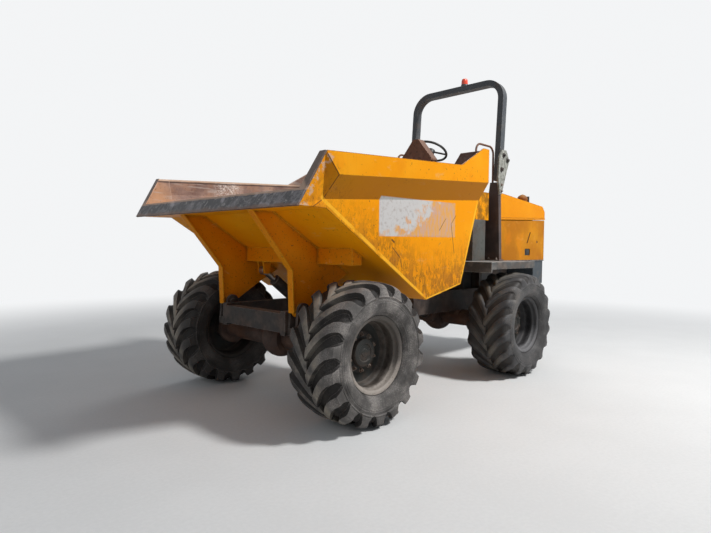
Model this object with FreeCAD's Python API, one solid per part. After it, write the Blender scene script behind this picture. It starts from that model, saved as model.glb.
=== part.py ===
import FreeCAD, Part
import math
import os

# Site dumper: two frames joined by a vertical pivot, a forward-tipping skip on the front one, the
# driver's place, roll bar and engine on the rear one. Built straight ahead, level, in millimetres.
# x runs forward, y to the left, z up from the ground. Pieces of the front frame are drawn with x
# counted from the front axle and those of the rear frame with x counted from the rear axle. The export
# moves both so that the middle of the length stands over the origin.

os.makedirs("parts", exist_ok=True)

# Running gear
wheelbase = 2460.0
track = 1950.0
tyre_radius = 565.0
tyre_width = 500.0
lug_count = 18
lug_depth = 42.0
worn_lug_depth = 30.0
lug_angle = 9.0
lug_taper = 0.7
lug_lead = 25.0
bead_radius = 285.0
rim_flange_radius = 305.0
rim_width = 390.0
rim_wall = 14.0
rim_flange_thick = 8.0
wheel_disc_thick = 18.0
hub_radius = 112.0
hub_inboard = 150.0
hub_outboard = 70.0
stub_radius = 60.0
stub_depth = 95.0
axle_tube_radius = 95.0
axle_flange_radius = 150.0
diff_radius = 180.0
shaft_radius = 38.0
shaft_height = 640.0
face_gap = 0.3
running_gap = 0.5
bead_gap = 1.7
bead_half = rim_width / 2 - rim_flange_thick - face_gap
sidewall_foot = 0.93
sidewall_rise = 22.0

# Tread, from its middle to the lugs' foot on the sidewall. The fall is below the tyre's radius, the
# inset is the gap floor's, and depth and lead are shares of the lugs' own.
tread_rows = (
    # share of half the width, fall, inset of the floor, share of the depth, share of the lead
    (0.0, 0.0, 0.0, 1.0, 1.0),
    (0.48, 3.0, 0.0, 1.0, 0.36),
    (0.86, 17.0, 10.0, 1.0, 0.05),
    (0.996, 125.0, 0.0, 0.0, 0.0),
)

# Overall reach, from the axles, and the steering pivot's place behind the front axle
lip_overhang = 823.0
tail_overhang = 1600.0
steer_pivot_back = 1230.0

# Skip
skip_half_width = 1225.0
skip_side_half = 1120.0
lip_half_width = 1192.0
skip_wall = 12.0
skip_rise = 0.066
top_rise = 0.058
mouth_top_x = 606.0
mouth_top_z = 2038.0
lip_z = 1660.0
lip_back_x = 500.0
lip_strip = 135.0
cheek_strip = 60.0
edge_thick = 14.0
band_front_x = 477.0
band_front_z = 1887.0
fold_front_x = 531.0
fold_front_z = 1721.0
keel_x = -680.0
keel_z = 945.0
heel_x = -1216.0
heel_z = 1058.0
skip_rear_x = -1508.0
ear_start_x = -1044.0
ear_top_x = -1410.0
ear_top_z = 2330.0
guard_dip = 130.0
guard_dip_half = 820.0

# Skip's carriers
rib_y = 512.0
rib_thick = 20.0
rib_flange_width = 66.0
rib_flange_thick = 12.0
rib_top_x = 700.0
rib_kink_x = 315.0
rib_kink_z = 1199.0
rib_toe_x = 298.0
tip_x = 225.0
tip_z = 870.0
tip_boss_radius = 62.0
tip_boss_width = 60.0
tip_pin_radius = 28.0
rib_heel_x = -330.0
beam_front_x = 40.0
beam_back_x = -70.0
beam_bottom_z = 1245.0
beam_half = 930.0

# Front frame
member_y = 430.0
member_width = 60.0
member_bottom = 662.0
member_top = 860.0
member_front_x = 330.0
yoke_reach = 260.0
yoke_plate_thick = 30.0
yoke_plate_half = 460.0
yoke_radius = 100.0
yoke_thick = 50.0
yoke_top_z = 870.0
yoke_bottom_z = 420.0
lug_radius = 92.0
lug_thick = 55.0
lug_gap = 5.0
yoke_pin_radius = 34.0
bracket_thick = 24.0
bracket_gap = 3.0

# Tip rams
ram_y = 300.0
tip_ram_base = (-620.0, 700.0)
tip_ram_eye = (-20.0, 1160.0)
tip_barrel_radius = 55.0
tip_rod_radius = 28.0
tip_barrel_length = 600.0
ram_eye_radius = 42.0
ram_eye_width = 60.0
ram_ear_thick = 16.0
ram_ear_gap = 3.0
ram_wall = 14.0
ram_gland = 25.0
ram_start = 90.0

# Steering ram, with its two pins' places ahead of and behind the pivot
steer_base_ahead = 430.0
steer_base_y = 300.0
steer_eye_behind = 190.0
steer_eye_y = 240.0
steer_ram_z = 735.0
steer_barrel_radius = 38.0
steer_rod_radius = 20.0
steer_barrel_length = 409.0
steer_eye_radius = 32.0
steer_ram_start = 37.0
steer_stroke = 150.0
piston_thick = 25.0
piston_margin = 8.0

# Rear frame
rear_plate_reach = 265.0
rear_plate_half = 360.0
rear_member_y = 330.0
rear_member_top = 900.0
rear_frame_end = -1440.0
deck_z = 1250.0
deck_front_x = 554.0
deck_half = 1050.0
fender_rear_x = -421.0
hitch_bottom_z = 700.0
hitch_top_z = 860.0
hitch_bore_radius = 15.0
hitch_bore_x = -1560.0
hitch_half = 60.0
hitch_wall = 50.0
fender_inner_y = 600.0
deck_thick = 12.0
deck_lip = 75.0
deck_front_lip = 110.0

# Engine cover
hood_front_x = -305.0
hood_rear_x = -1505.0
hood_half = 665.0
hood_wall = 10.0
hood_top_front_z = 2060.0
hood_top_rear_z = 1965.0
hood_corner = 70.0
seam_front_z = 1740.0
seam_rear_z = 1790.0
seam_gap = 8.0
grille_rows = 7
grille_bottom_z = 1380.0
grille_pitch = 50.0
grille_slot = 22.0
hinge_radius = 10.0
hinge_pin = 5.0
hinge_places = (-420.0, 420.0)
cleaner_x = -1240.0
cleaner_y = 470.0
cleaner_stem = 30.0
exhaust_x = -1340.0
exhaust_y = 500.0
exhaust_radius = 18.0
panel_thick = 12.0
latch_x = -1025.0
latch_z = 1355.0
latch_wide = 140.0
latch_high = 82.0
latch_deep = 8.0
slot_bottom_z = 1470.0
slot_top_z = 1610.0
slot_wide = 26.0
slot_lean = 85.0
lock_x = -1297.0
lock_z = 1488.0
lock_radius = 15.0
cover_lip = 5.0
cover_lip_high = 22.0

# Engine and gearbox
engine_front_x = -440.0
engine_rear_x = -1190.0
engine_half = 290.0
engine_bottom_z = 780.0
engine_top_z = 1640.0
gearbox_front_x = -240.0
gearbox_bottom_z = 560.0
gearbox_top_z = 1150.0
gearbox_half = 200.0
bumper_bottom_z = 935.0

# Roll bar
post_front_x = -230.0
post_depth = 55.0
post_base_inner = 440.0
post_base_outer = 700.0
post_top_inner = 560.0
post_top_z = 2180.0
strap_high = 130.0
foot_margin = 18.0
foot_thick = 15.0
hoop_outer = 670.0
hoop_side = 70.0
hoop_depth = 92.0
hoop_bottom_z = 2200.0
hoop_top_z = 3440.0
hoop_bend = 250.0
hoop_base_x = -278.0
hoop_lean = 4.1
fold_x = -390.0
fold_z = 2450.0
fold_pin_radius = 16.0
hinge_plate_thick = 20.0
hinge_plate_drop = 410.0
beacon_y = 90.0

# Driver's place
floor_z = 1520.0
floor_half = 400.0
floor_rear_x = 160.0
seat_top_z = 2000.0
seat_half = 240.0
seat_thick = 105.0
seat_rear_x = -190.0
seat_front_x = 210.0
backrest_top_z = 2440.0
backrest_foot = 60.0
backrest_lean = 50.0
backrest_inset = 20.0
wheel_x = 200.0
wheel_z = 2560.0
wheel_rim_radius = 190.0
wheel_grip_radius = 14.0
wheel_tilt = 28.0
wheel_hub_drop = 25.0
console_y = 600.0
console_width = 150.0
console_rear_x = -140.0
console_front_x = 150.0
console_top_z = 2050.0
console_split_z = 1725.0
stand_rear_x = -70.0
stand_front_x = 200.0
lever_places = (60.0, 115.0)
lever_radius = 9.0
lever_length = 140.0
knob_radius = 22.0
rail_y = 578.0
rail_radius = 12.0
rail_front_x = 128.0
rail_rear_x = -258.0
rail_top_z = 2600.0
rail_bend = 90.0
dash_rear_x = 400.0
dash_front_x = 510.0
dash_foot_half = 150.0
dash_half = 230.0
dash_tip_half = 35.0
dash_waist_z = 2400.0
dash_flare = 60.0
dash_band = 20.0
dash_top_z = 2656.0
column_length = 480.0
column_radius = 26.0

front_axle_x = (wheelbase + tail_overhang + lip_overhang) / 2.0 - lip_overhang
rear_axle_x = front_axle_x - wheelbase
half_track = track / 2.0
yoke_plate_x = yoke_reach - steer_pivot_back
pivot_ahead = wheelbase - steer_pivot_back
rear_plate_x = pivot_ahead - rear_plate_reach


def vec(x, y, z):
    return FreeCAD.Vector(x, y, z)


def box(x0, x1, y0, y1, z0, z1):
    return Part.makeBox(x1 - x0, y1 - y0, z1 - z0, vec(x0, y0, z0))


def polygon(points):
    return Part.Face(Part.makePolygon(points + [points[0]]))


def side_plate(outline, y0, y1):
    """Solid between y0 and y1 from an outline of (x, z) pairs."""
    return polygon([vec(x, y0, z) for x, z in outline]).extrude(vec(0, y1 - y0, 0))


def cross_plate(outline, x0, x1):
    """Solid between x0 and x1 from an outline of (y, z) pairs."""
    return polygon([vec(x0, y, z) for y, z in outline]).extrude(vec(x1 - x0, 0, 0))


def flat_plate(outline, z0, z1):
    """Solid between z0 and z1 from an outline of (x, y) pairs."""
    return polygon([vec(x, y, z0) for x, y in outline]).extrude(vec(0, 0, z1 - z0))


def cyl_y(radius, x, z, y0, y1):
    return Part.makeCylinder(radius, y1 - y0, vec(x, y0, z), vec(0, 1, 0))


def cyl_z(radius, x, y, z0, z1):
    return Part.makeCylinder(radius, z1 - z0, vec(x, y, z0), vec(0, 0, 1))


def cyl_x(radius, y, z, x0, x1):
    return Part.makeCylinder(radius, x1 - x0, vec(x0, y, z), vec(1, 0, 0))


def join(shapes):
    whole = shapes[0].fuse(shapes[1:]) if len(shapes) > 1 else shapes[0]
    return whole.removeSplitter()


def mirrored(shape):
    return shape.mirror(vec(0, 0, 0), vec(0, 1, 0))


def both_sides(shape):
    return [shape, mirrored(shape)]


def corner_solid(corners, faces):
    """Closed solid from named corners and faces given as words of corner names."""
    sides = [polygon([corners[name] for name in face.split()]) for face in faces]
    solid = Part.Solid(Part.makeShell(sides))
    if solid.Volume < 0:
        solid.reverse()
    return solid


def revolve_y(outline, x, y, z):
    """Solid of revolution about a line along y, from an outline of (offset along y, radius) pairs."""
    face = polygon([vec(x, y + along, z + radius) for along, radius in outline])
    return face.revolve(vec(x, y, z), vec(0, 1, 0), 360)


def export(name, shape, axle_x):
    placed = shape.copy()
    placed.translate(vec(axle_x, 0, 0))
    placed.exportStep("parts/" + name + ".step")


# Skip

def band_z(x):
    return band_front_z + skip_rise * (band_front_x - x)


def fold_line_z(x):
    return fold_front_z + skip_rise * (fold_front_x - x)


def floor_line_z(x):
    return keel_z + (lip_z - keel_z) * (x - keel_x) / (lip_back_x - keel_x)


def top_line_z(x):
    return mouth_top_z + top_rise * (mouth_top_x - x)


def mouth_point(up):
    """Point (x, z) on the mouth's slanted plane, so far up from the lip's tip."""
    run = mouth_top_x - lip_overhang
    rise = mouth_top_z - lip_z
    length = math.hypot(run, rise)
    return lip_overhang + run * up / length, lip_z + rise * up / length


def skip_outside():
    # corner: x, half width, z
    table = {
        "mouth_top": (mouth_top_x, skip_half_width, mouth_top_z),
        "lip": (lip_overhang, lip_half_width, lip_z),
        "band_front": (band_front_x, skip_half_width, band_front_z),
        "fold_front": (fold_front_x, skip_side_half, fold_front_z),
        "lip_back": (lip_back_x, skip_side_half, lip_z),
        "keel": (keel_x, skip_side_half, keel_z),
        "heel": (heel_x, skip_side_half, heel_z),
        "fold_rear": (skip_rear_x, skip_side_half, fold_line_z(skip_rear_x)),
        "band_rear": (skip_rear_x, skip_half_width, band_z(skip_rear_x)),
        "ear_rear": (skip_rear_x, skip_half_width, ear_top_z),
        "ear_top": (ear_top_x, skip_half_width, ear_top_z),
        "ear_start": (ear_start_x, skip_half_width, top_line_z(ear_start_x)),
    }
    corners = {}
    for name, (x, half, z) in table.items():
        corners["L_" + name] = vec(x, half, z)
        corners["R_" + name] = vec(x, -half, z)
    side_faces = [
        "mouth_top band_front band_rear ear_rear ear_top ear_start",
        "band_front fold_front fold_rear band_rear",
        "fold_front lip_back keel heel fold_rear",
        "mouth_top fold_front band_front",
        "mouth_top lip fold_front",
        "fold_front lip lip_back",
    ]
    faces = [" ".join(hand + name for name in face.split()) for face in side_faces for hand in ("L_", "R_")]
    across = ["mouth_top lip", "mouth_top ear_start", "ear_start ear_top", "ear_top ear_rear",
              "ear_rear band_rear", "band_rear fold_rear", "fold_rear heel", "heel keel",
              "keel lip_back", "lip_back lip"]
    for pair in across:
        first, second = pair.split()
        faces.append("L_%s L_%s R_%s R_%s" % (first, second, second, first))
    return corner_solid(corners, faces)


def skip_inside():
    """The load space, open through the top and the mouth."""
    above = ear_top_z + 200.0
    tilt = math.atan2(lip_z - keel_z, lip_back_x - keel_x)
    lift = skip_wall / math.cos(tilt)
    lip_x, lip_top_z = mouth_point(lip_strip)
    front = lip_overhang + 50.0
    rear = skip_rear_x + skip_wall
    below = skip_side_half - skip_wall
    wide = skip_half_width - skip_wall
    floor = [(keel_x, keel_z + lift), (lip_back_x, lip_z + lift), (lip_x, lip_top_z)]
    floor.append((front, lip_top_z + (front - lip_x) * math.tan(tilt)))
    middle = side_plate(floor + [
        (front, above),
        (rear, above),
        (rear, fold_line_z(rear)),
        (heel_x + skip_wall, heel_z + skip_wall * 1.4),
    ], -below, below)
    corners = {}
    for hand, sign in (("L_", 1), ("R_", -1)):
        for end, x in (("front", band_front_x), ("rear", rear)):
            corners[hand + "fold_" + end] = vec(x, sign * below, fold_line_z(x))
            corners[hand + "band_" + end] = vec(x, sign * wide, band_z(x))
    facet = corner_solid(corners, [
        "L_fold_front L_fold_rear L_band_rear L_band_front",
        "R_fold_front R_fold_rear R_band_rear R_band_front",
        "L_fold_front R_fold_front R_fold_rear L_fold_rear",
        "L_band_front R_band_front R_band_rear L_band_rear",
        "L_fold_front R_fold_front R_band_front L_band_front",
        "L_fold_rear R_fold_rear R_band_rear L_band_rear",
    ])
    upper = side_plate([
        (band_front_x, band_z(band_front_x)),
        (band_front_x, above),
        (rear, above),
        (rear, band_z(rear)),
    ], -wide, wide)
    # between the cheeks, which lean out towards the top
    mouth = cross_plate([
        (below, fold_front_z),
        (wide, mouth_top_z),
        (wide, above),
        (-wide, above),
        (-wide, mouth_top_z),
        (-below, fold_front_z),
    ], band_front_x - 1.0, front)
    under_floor = side_plate(floor + [(front, keel_z), (keel_x, keel_z)], -wide - 10, wide + 10)
    return join([middle, facet, upper, mouth.cut(under_floor)])


def skip_tub():
    tub = skip_outside().cut(skip_inside()).cut(mouth_slab())
    low = ear_top_z - guard_dip
    dip = cross_plate([
        (-guard_dip_half, low),
        (guard_dip_half, low),
        (guard_dip_half + guard_dip, ear_top_z + 50.0),
        (-guard_dip_half - guard_dip, ear_top_z + 50.0),
    ], skip_rear_x - 50.0, skip_rear_x + 50.0)
    return tub.cut(dip).removeSplitter()


def mouth_frame():
    """Start point, direction up the mouth's slanted plane, outward normal and slanted length."""
    run = mouth_top_x - lip_overhang
    rise = mouth_top_z - lip_z
    length = math.hypot(run, rise)
    up = vec(run / length, 0, rise / length)
    out = vec(rise / length, 0, -run / length)
    return vec(lip_overhang, 0, lip_z), up, out, length


def mouth_slab():
    """What the worn strip takes off the front of the tub."""
    start, up, out, length = mouth_frame()
    wide = skip_half_width + lip_half_width
    corner = start - up * 50.0 - out * edge_thick
    side = vec(0, wide, 0)
    ahead = up * (length + 100.0)
    face = polygon([corner - side, corner + side, corner + side + ahead, corner - side + ahead])
    return face.extrude(out * (edge_thick + 50.0))


def skip_mouth_edge():
    """Worn steel strip round the mouth, lying on its slanted plane."""
    start, up, out, length = mouth_frame()

    def at(along, half):
        return start + up * along + vec(0, half, 0)

    low = lip_half_width - cheek_strip
    high = skip_half_width - cheek_strip
    over = length + 10.0
    outer = polygon([at(0, lip_half_width), at(length, skip_half_width),
                     at(length, -skip_half_width), at(0, -lip_half_width)])
    inner = polygon([at(lip_strip, low), at(over, high), at(over, -high), at(lip_strip, -low)])
    back = out * -edge_thick
    return outer.extrude(back).cut(inner.extrude(back))


def skip_ribs():
    toe_z = tip_z - 20.0
    outline = [
        (rib_heel_x, floor_line_z(rib_heel_x)),
        (lip_back_x, lip_z),
        (rib_top_x, lip_z),
        (rib_kink_x, rib_kink_z),
        (rib_toe_x, toe_z),
        (tip_x, tip_z - tip_boss_radius * 0.8),
        (tip_x - tip_boss_radius, tip_z),
        (beam_back_x - 80.0, tip_z + 190.0),
    ]
    plate = side_plate(outline, rib_y - rib_thick / 2, rib_y + rib_thick / 2)
    boss = cyl_y(tip_boss_radius, tip_x, tip_z, rib_y - tip_boss_width / 2, rib_y + tip_boss_width / 2)
    t = rib_flange_thick
    flange = side_plate([
        (rib_top_x, lip_z),
        (rib_top_x + t * 1.2, lip_z),
        (rib_kink_x + t, rib_kink_z - 3.0),
        (rib_toe_x + t, toe_z),
        (rib_toe_x, toe_z),
        (rib_kink_x, rib_kink_z),
    ], rib_y - rib_flange_width / 2, rib_y + rib_flange_width / 2)
    rib = join([plate, boss, flange])
    rib = rib.cut(cyl_y(tip_pin_radius + running_gap, tip_x, tip_z, rib_y - 60, rib_y + 60))
    return Part.makeCompound(both_sides(rib))


def skip_cross_beam():
    profile = [
        (beam_back_x, floor_line_z(beam_back_x)),
        (beam_front_x, floor_line_z(beam_front_x)),
        (beam_front_x, beam_bottom_z),
        (beam_back_x, beam_bottom_z),
    ]
    gap = rib_y - rib_thick / 2
    outer = rib_y + rib_thick / 2
    pieces = [side_plate(profile, -gap, gap)]
    pieces += both_sides(side_plate(profile, outer, beam_half))
    ears = []
    for y in (ram_y, -ram_y):
        for sign in (1, -1):
            inner = y + sign * (ram_eye_width / 2 + ram_ear_gap)
            low = min(inner, inner + sign * ram_ear_thick)
            x, z = tip_ram_eye
            ear = side_plate([(x - 45, beam_bottom_z), (x + 45, beam_bottom_z),
                              (x + 30, z - 30), (x - 30, z - 30)], low, low + ram_ear_thick)
            ears.append(ear)
    centre = join([pieces[0]] + ears)
    return Part.makeCompound([centre] + pieces[1:])


# Front frame

def front_frame():
    members = both_sides(box(yoke_plate_x, member_front_x, member_y - member_width / 2,
                             member_y + member_width / 2, member_bottom, member_top))
    nose = box(member_front_x - 110, member_front_x, -member_y, member_y, member_bottom + 20, member_top - 20)
    plate = box(yoke_plate_x - yoke_plate_thick, yoke_plate_x, -yoke_plate_half, yoke_plate_half,
                yoke_bottom_z, yoke_top_z)
    window = box(yoke_plate_x - 60, yoke_plate_x + 60, 205, 395, steer_ram_z - 60, steer_ram_z + 60)
    tunnel = cyl_x(shaft_radius + 60, 0, shaft_height, yoke_plate_x - 60, yoke_plate_x + 60)
    plate = plate.cut(window).cut(tunnel)
    ears = []
    for z0, z1 in ((yoke_bottom_z, yoke_bottom_z + yoke_thick), (yoke_top_z - yoke_thick, yoke_top_z)):
        root = yoke_plate_x - yoke_plate_thick
        tongue = flat_plate([(root, -170), (root, 170), (-steer_pivot_back, yoke_radius),
                             (-steer_pivot_back, -yoke_radius)], z0, z1)
        ears += [tongue, cyl_z(yoke_radius, -steer_pivot_back, 0, z0, z1)]
    lug = lug_gap + lug_thick + lug_gap
    pins = [
        cyl_z(yoke_pin_radius, -steer_pivot_back, 0, yoke_bottom_z - 15, yoke_bottom_z + yoke_thick + lug),
        cyl_z(yoke_pin_radius, -steer_pivot_back, 0, yoke_top_z - yoke_thick - lug, yoke_top_z + 15),
    ]
    cross_tube = cyl_y(40, tip_ram_base[0], tip_ram_base[1], -member_y, member_y)
    ram_gaps = [cyl_y(48, tip_ram_base[0], tip_ram_base[1], y - ram_eye_width / 2 - ram_ear_gap,
                      y + ram_eye_width / 2 + ram_ear_gap) for y in (ram_y, -ram_y)]
    cross_tube = cross_tube.cut(ram_gaps)
    ram_pins = [cyl_y(20, tip_ram_base[0], tip_ram_base[1], y - 40, y + 40) for y in (ram_y, -ram_y)]
    brackets = []
    reach = rib_flange_width / 2 + bracket_gap
    for inner in (rib_y - reach - bracket_thick, rib_y + reach):
        sheet = side_plate([(tip_x - 75, member_bottom), (tip_x + 75, member_bottom), (tip_x + 62, tip_z),
                            (tip_x - 62, tip_z)], inner, inner + bracket_thick)
        brackets.append(join([sheet, cyl_y(62, tip_x, tip_z, inner, inner + bracket_thick)]))
    base = box(tip_x - 75, tip_x + 75, member_y, rib_y + reach + bracket_thick, member_bottom,
               member_bottom + 60)
    pin = cyl_y(tip_pin_radius, tip_x, tip_z, rib_y - reach - bracket_thick - 8, rib_y + reach + bracket_thick + 8)
    side_brackets = both_sides(join(brackets + [base, pin]))
    ram_seat = steer_ram_seat()
    return join(members + [nose, plate, cross_tube] + ears + pins + ram_pins + side_brackets + [ram_seat])


def steer_ram_seat():
    """Fork on the left member that holds the steering ram's barrel."""
    x, y = steer_base_ahead - steer_pivot_back, steer_base_y
    plates = []
    for z in (steer_ram_z - 56, steer_ram_z + 40):
        plates.append(flat_plate([(x + 60, member_y - 20), (x - 60, member_y - 20), (x - 30, y - 30),
                                  (x + 30, y - 30)], z, z + 16))
    pin = cyl_z(14, x, y, steer_ram_z - 56, steer_ram_z + 56)
    return join(plates + [pin])


def axle():
    tube_end = half_track - hub_inboard - running_gap
    arms = [cyl_y(axle_tube_radius, 0, tyre_radius, -tube_end, tube_end)]
    ball = Part.makeSphere(diff_radius, vec(0, 0, tyre_radius))
    band = cyl_y(diff_radius, 0, tyre_radius, -110, 110)
    bulge = ball.common(band)
    flanges = []
    for sign in (1, -1):
        y = sign * tube_end
        flanges.append(cyl_y(axle_flange_radius, 0, tyre_radius, min(y, y - sign * 60), max(y, y - sign * 60)))
        stub_end = y + sign * stub_depth
        flanges.append(cyl_y(stub_radius, 0, tyre_radius, min(y, stub_end), max(y, stub_end)))
    return [bulge] + arms + flanges


def front_axle():
    pads = both_sides(box(-90, 90, member_y - member_width / 2, member_y + member_width / 2,
                          tyre_radius, member_bottom))
    nose = cyl_x(95, 0, tyre_radius + 20, -diff_radius - 60, -60)
    return join(axle() + pads + [nose])


def rear_axle():
    pads = both_sides(box(-90, 90, rear_member_y - member_width / 2, rear_member_y + member_width / 2,
                          tyre_radius, member_bottom))
    nose = cyl_x(95, 0, tyre_radius + 20, 60, diff_radius + 60)
    return join(axle() + pads + [nose])


def drive_shaft(x0, x1):
    tube = cyl_x(shaft_radius, 0, shaft_height - 30, x0, x1)
    collar = cyl_x(shaft_radius + 22, 0, shaft_height - 30, x0, x0 + 45)
    end = cyl_x(shaft_radius + 22, 0, shaft_height - 30, x1 - 45, x1)
    return join([tube, collar, end])


# Wheels

def tread_point(turn, across, radius):
    """Point of a tyre in its middle plane's frame, so far round from the top in degrees."""
    angle = math.radians(turn)
    return vec(radius * math.sin(angle), across, tyre_radius + radius * math.cos(angle))


def lug_start(hand, number):
    """Turn at which a lug begins; those of the right half (hand -1) stand half a pitch on."""
    return (number + (0.0 if hand > 0 else 0.5)) * 360.0 / lug_count


def lug_section(hand, number, row, depth):
    """Gap floor's and lug top's two corners each, where one lug crosses one row of the tread."""
    across, fall, inset, deep, lead = tread_rows[row]
    start = lug_start(hand, number) + lug_lead * lead
    high = tyre_radius - fall
    outer = hand * tyre_width / 2 * across
    inner = outer - hand * inset
    low = high - depth * deep
    taper = lug_taper * deep
    floor = [tread_point(start + turn, inner, low) for turn in (0.0, lug_angle)]
    top = [tread_point(start + turn, outer, high) for turn in (taper, lug_angle - taper)]
    return floor + top


def triangles(first, second, third, fourth):
    return [polygon([first, second, third]), polygon([first, third, fourth])]


def lug_faces(rows, following, middle):
    """Flats of one lug, from the tyre's middle to the sidewall, and of the gap behind it."""
    faces = [polygon([rows[0][corner] for corner in (0, 1, 3, 2)])]
    last = len(rows) - 1
    for row in range(last):
        low_a, low_b, high_a, high_b = rows[row]
        next_low_a, next_low_b, next_high_a, next_high_b = rows[row + 1]
        gap_end = following[row][0]
        next_gap_end = following[row + 1][0]
        if row + 1 < last:
            faces += triangles(high_a, high_b, next_high_b, next_high_a)
            faces += triangles(low_a, high_a, next_high_a, next_low_a)
            faces += triangles(high_b, low_b, next_low_b, next_high_b)
        else:
            faces += triangles(high_a, high_b, next_low_b, next_low_a)
            faces.append(polygon([low_a, high_a, next_low_a]))
            faces.append(polygon([high_b, low_b, next_low_b]))
        if row > 0:
            faces += triangles(low_b, gap_end, next_gap_end, next_low_b)
            continue
        across = [low_b, middle[0], middle[1], gap_end]
        faces.append(polygon([low_b, next_gap_end, next_low_b]))
        faces += [polygon([here, there, next_gap_end]) for here, there in zip(across, across[1:])]
    return faces


def tyre_side(hand, depth):
    """Lugs, gaps and sidewall of one half of a tyre."""
    faces = []
    foot_across, foot_fall = tread_rows[-1][:2]
    chain = [(tyre_width / 2 * foot_across, tyre_radius - foot_fall),
             (tyre_width / 2 * sidewall_foot, rim_flange_radius + sidewall_rise),
             (bead_half, rim_flange_radius + bead_gap),
             (bead_half, bead_radius + bead_gap)]
    for number in range(lug_count):
        rows = [lug_section(hand, number, row, depth) for row in range(len(tread_rows))]
        following = [lug_section(hand, number + 1, row, depth) for row in range(len(tread_rows))]
        other = lug_section(-hand, number if hand > 0 else number + 1, 0, depth)
        faces += lug_faces(rows, following, other)
        start = lug_start(hand, number)
        turns = (start, start + lug_angle, lug_start(hand, number + 1))
        for (y0, r0), (y1, r1) in zip(chain, chain[1:]):
            for here, there in zip(turns, turns[1:]):
                faces.append(polygon([tread_point(here, hand * y0, r0), tread_point(there, hand * y0, r0),
                                      tread_point(there, hand * y1, r1), tread_point(here, hand * y1, r1)]))
    return faces


def tyre_bore():
    """Flats round the rim, between the two halves' beads, whose corners stand half a pitch apart."""
    faces = []
    pitch = 360.0 / lug_count
    radius = bead_radius + bead_gap
    spread = pitch / 2 - lug_angle
    for number in range(lug_count):
        start = number * pitch
        for here, there, lean in ((0.0, lug_angle, spread), (lug_angle, pitch, -spread)):
            faces.append(polygon([
                tread_point(start + here, bead_half, radius),
                tread_point(start + there, bead_half, radius),
                tread_point(start + there + lean, -bead_half, radius),
                tread_point(start + here - lean, -bead_half, radius),
            ]))
    return faces


def tyre(depth):
    """Lugged tyre whose lugs lean forward at the top, in flats, standing on the ground at x = y = 0."""
    shell = Part.makeShell(tyre_side(1, depth) + tyre_side(-1, depth) + tyre_bore())
    shell.sewShape()
    solid = Part.Solid(shell)
    if solid.Volume < 0:
        solid.reverse()
    first = lug_lead + lug_taper
    solid.rotate(vec(0, 0, tyre_radius), vec(0, 1, 0), 180.0 - first)
    return solid


def rim(y, side):
    half = rim_width / 2
    w = rim_wall
    barrel = [
        (-half, rim_flange_radius),
        (-half + rim_flange_thick, rim_flange_radius),
        (-half + rim_flange_thick, bead_radius),
        (half - rim_flange_thick, bead_radius),
        (half - rim_flange_thick, rim_flange_radius),
        (half, rim_flange_radius),
        (half, bead_radius - w),
        (-half, bead_radius - w),
    ]
    ring = revolve_y(barrel, 0, y, tyre_radius)
    disc = cyl_y(bead_radius - w / 2, 0, tyre_radius, y - wheel_disc_thick / 2, y + wheel_disc_thick / 2)
    inboard = y - side * hub_inboard
    outboard = y + side * hub_outboard
    hub = cyl_y(hub_radius, 0, tyre_radius, min(inboard, outboard), max(inboard, outboard))
    bore_end = inboard + side * (stub_depth + running_gap)
    bore = cyl_y(stub_radius + running_gap, 0, tyre_radius, min(inboard, bore_end), max(inboard, bore_end))
    return join([ring, disc, hub]).cut(bore)


# Rams: drawn along +x from the base pin at the origin, then turned into place

def ram_barrel(radius, length, start, rod_radius, eye_radius, eye_width, pin_radius):
    body = cyl_x(radius, 0, 0, start, length)
    eye = cyl_y(eye_radius, 0, 0, -eye_width / 2, eye_width / 2)
    neck = box(0, start + 10, -eye_width / 2, eye_width / 2, -eye_radius * 0.7, eye_radius * 0.7)
    solid = join([body, eye, neck])
    bore = cyl_x(radius - ram_wall, 0, 0, start + ram_wall, length - ram_gland)
    gland = cyl_x(rod_radius + running_gap, 0, 0, length - ram_gland - 1, length + 1)
    hole = cyl_y(pin_radius + running_gap, 0, 0, -eye_width, eye_width)
    return solid.cut(bore).cut(gland).cut(hole)


def ram_rod(bore_radius, start, length, rod_radius, eye_radius, eye_width):
    shaft = cyl_x(rod_radius, 0, 0, start, length - eye_radius * 0.5)
    piston = cyl_x(bore_radius - running_gap, 0, 0, start, start + piston_thick)
    eye = cyl_y(eye_radius, length, 0, -eye_width / 2, eye_width / 2)
    return join([shaft, piston, eye])


def turn_up(shape, base, tip, y):
    """Turn a ram drawn along +x so that it points from base to tip, both (x, z), at the given y."""
    angle = math.degrees(math.atan2(tip[1] - base[1], tip[0] - base[0]))
    turned = shape.copy()
    turned.rotate(vec(0, 0, 0), vec(0, 1, 0), -angle)
    turned.translate(vec(base[0], y, base[1]))
    return turned


def turn_flat(shape, base, tip, z):
    """Lay a ram drawn along +x with its eyes' bores upright, pointing from base to tip, both (x, y)."""
    angle = math.degrees(math.atan2(tip[1] - base[1], tip[0] - base[0]))
    turned = shape.copy()
    turned.rotate(vec(0, 0, 0), vec(1, 0, 0), 90)
    turned.rotate(vec(0, 0, 0), vec(0, 0, 1), angle)
    turned.translate(vec(base[0], base[1], z))
    return turned


def tip_ram(y):
    length = math.dist(tip_ram_base, tip_ram_eye)
    barrel = ram_barrel(tip_barrel_radius, tip_barrel_length, ram_start, tip_rod_radius, ram_eye_radius,
                        ram_eye_width, 20)
    rod = ram_rod(tip_barrel_radius - ram_wall, ram_start + ram_wall + piston_margin, length, tip_rod_radius,
                  ram_eye_radius, ram_eye_width)
    return turn_up(barrel, tip_ram_base, tip_ram_eye, y), turn_up(rod, tip_ram_base, tip_ram_eye, y)


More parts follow.
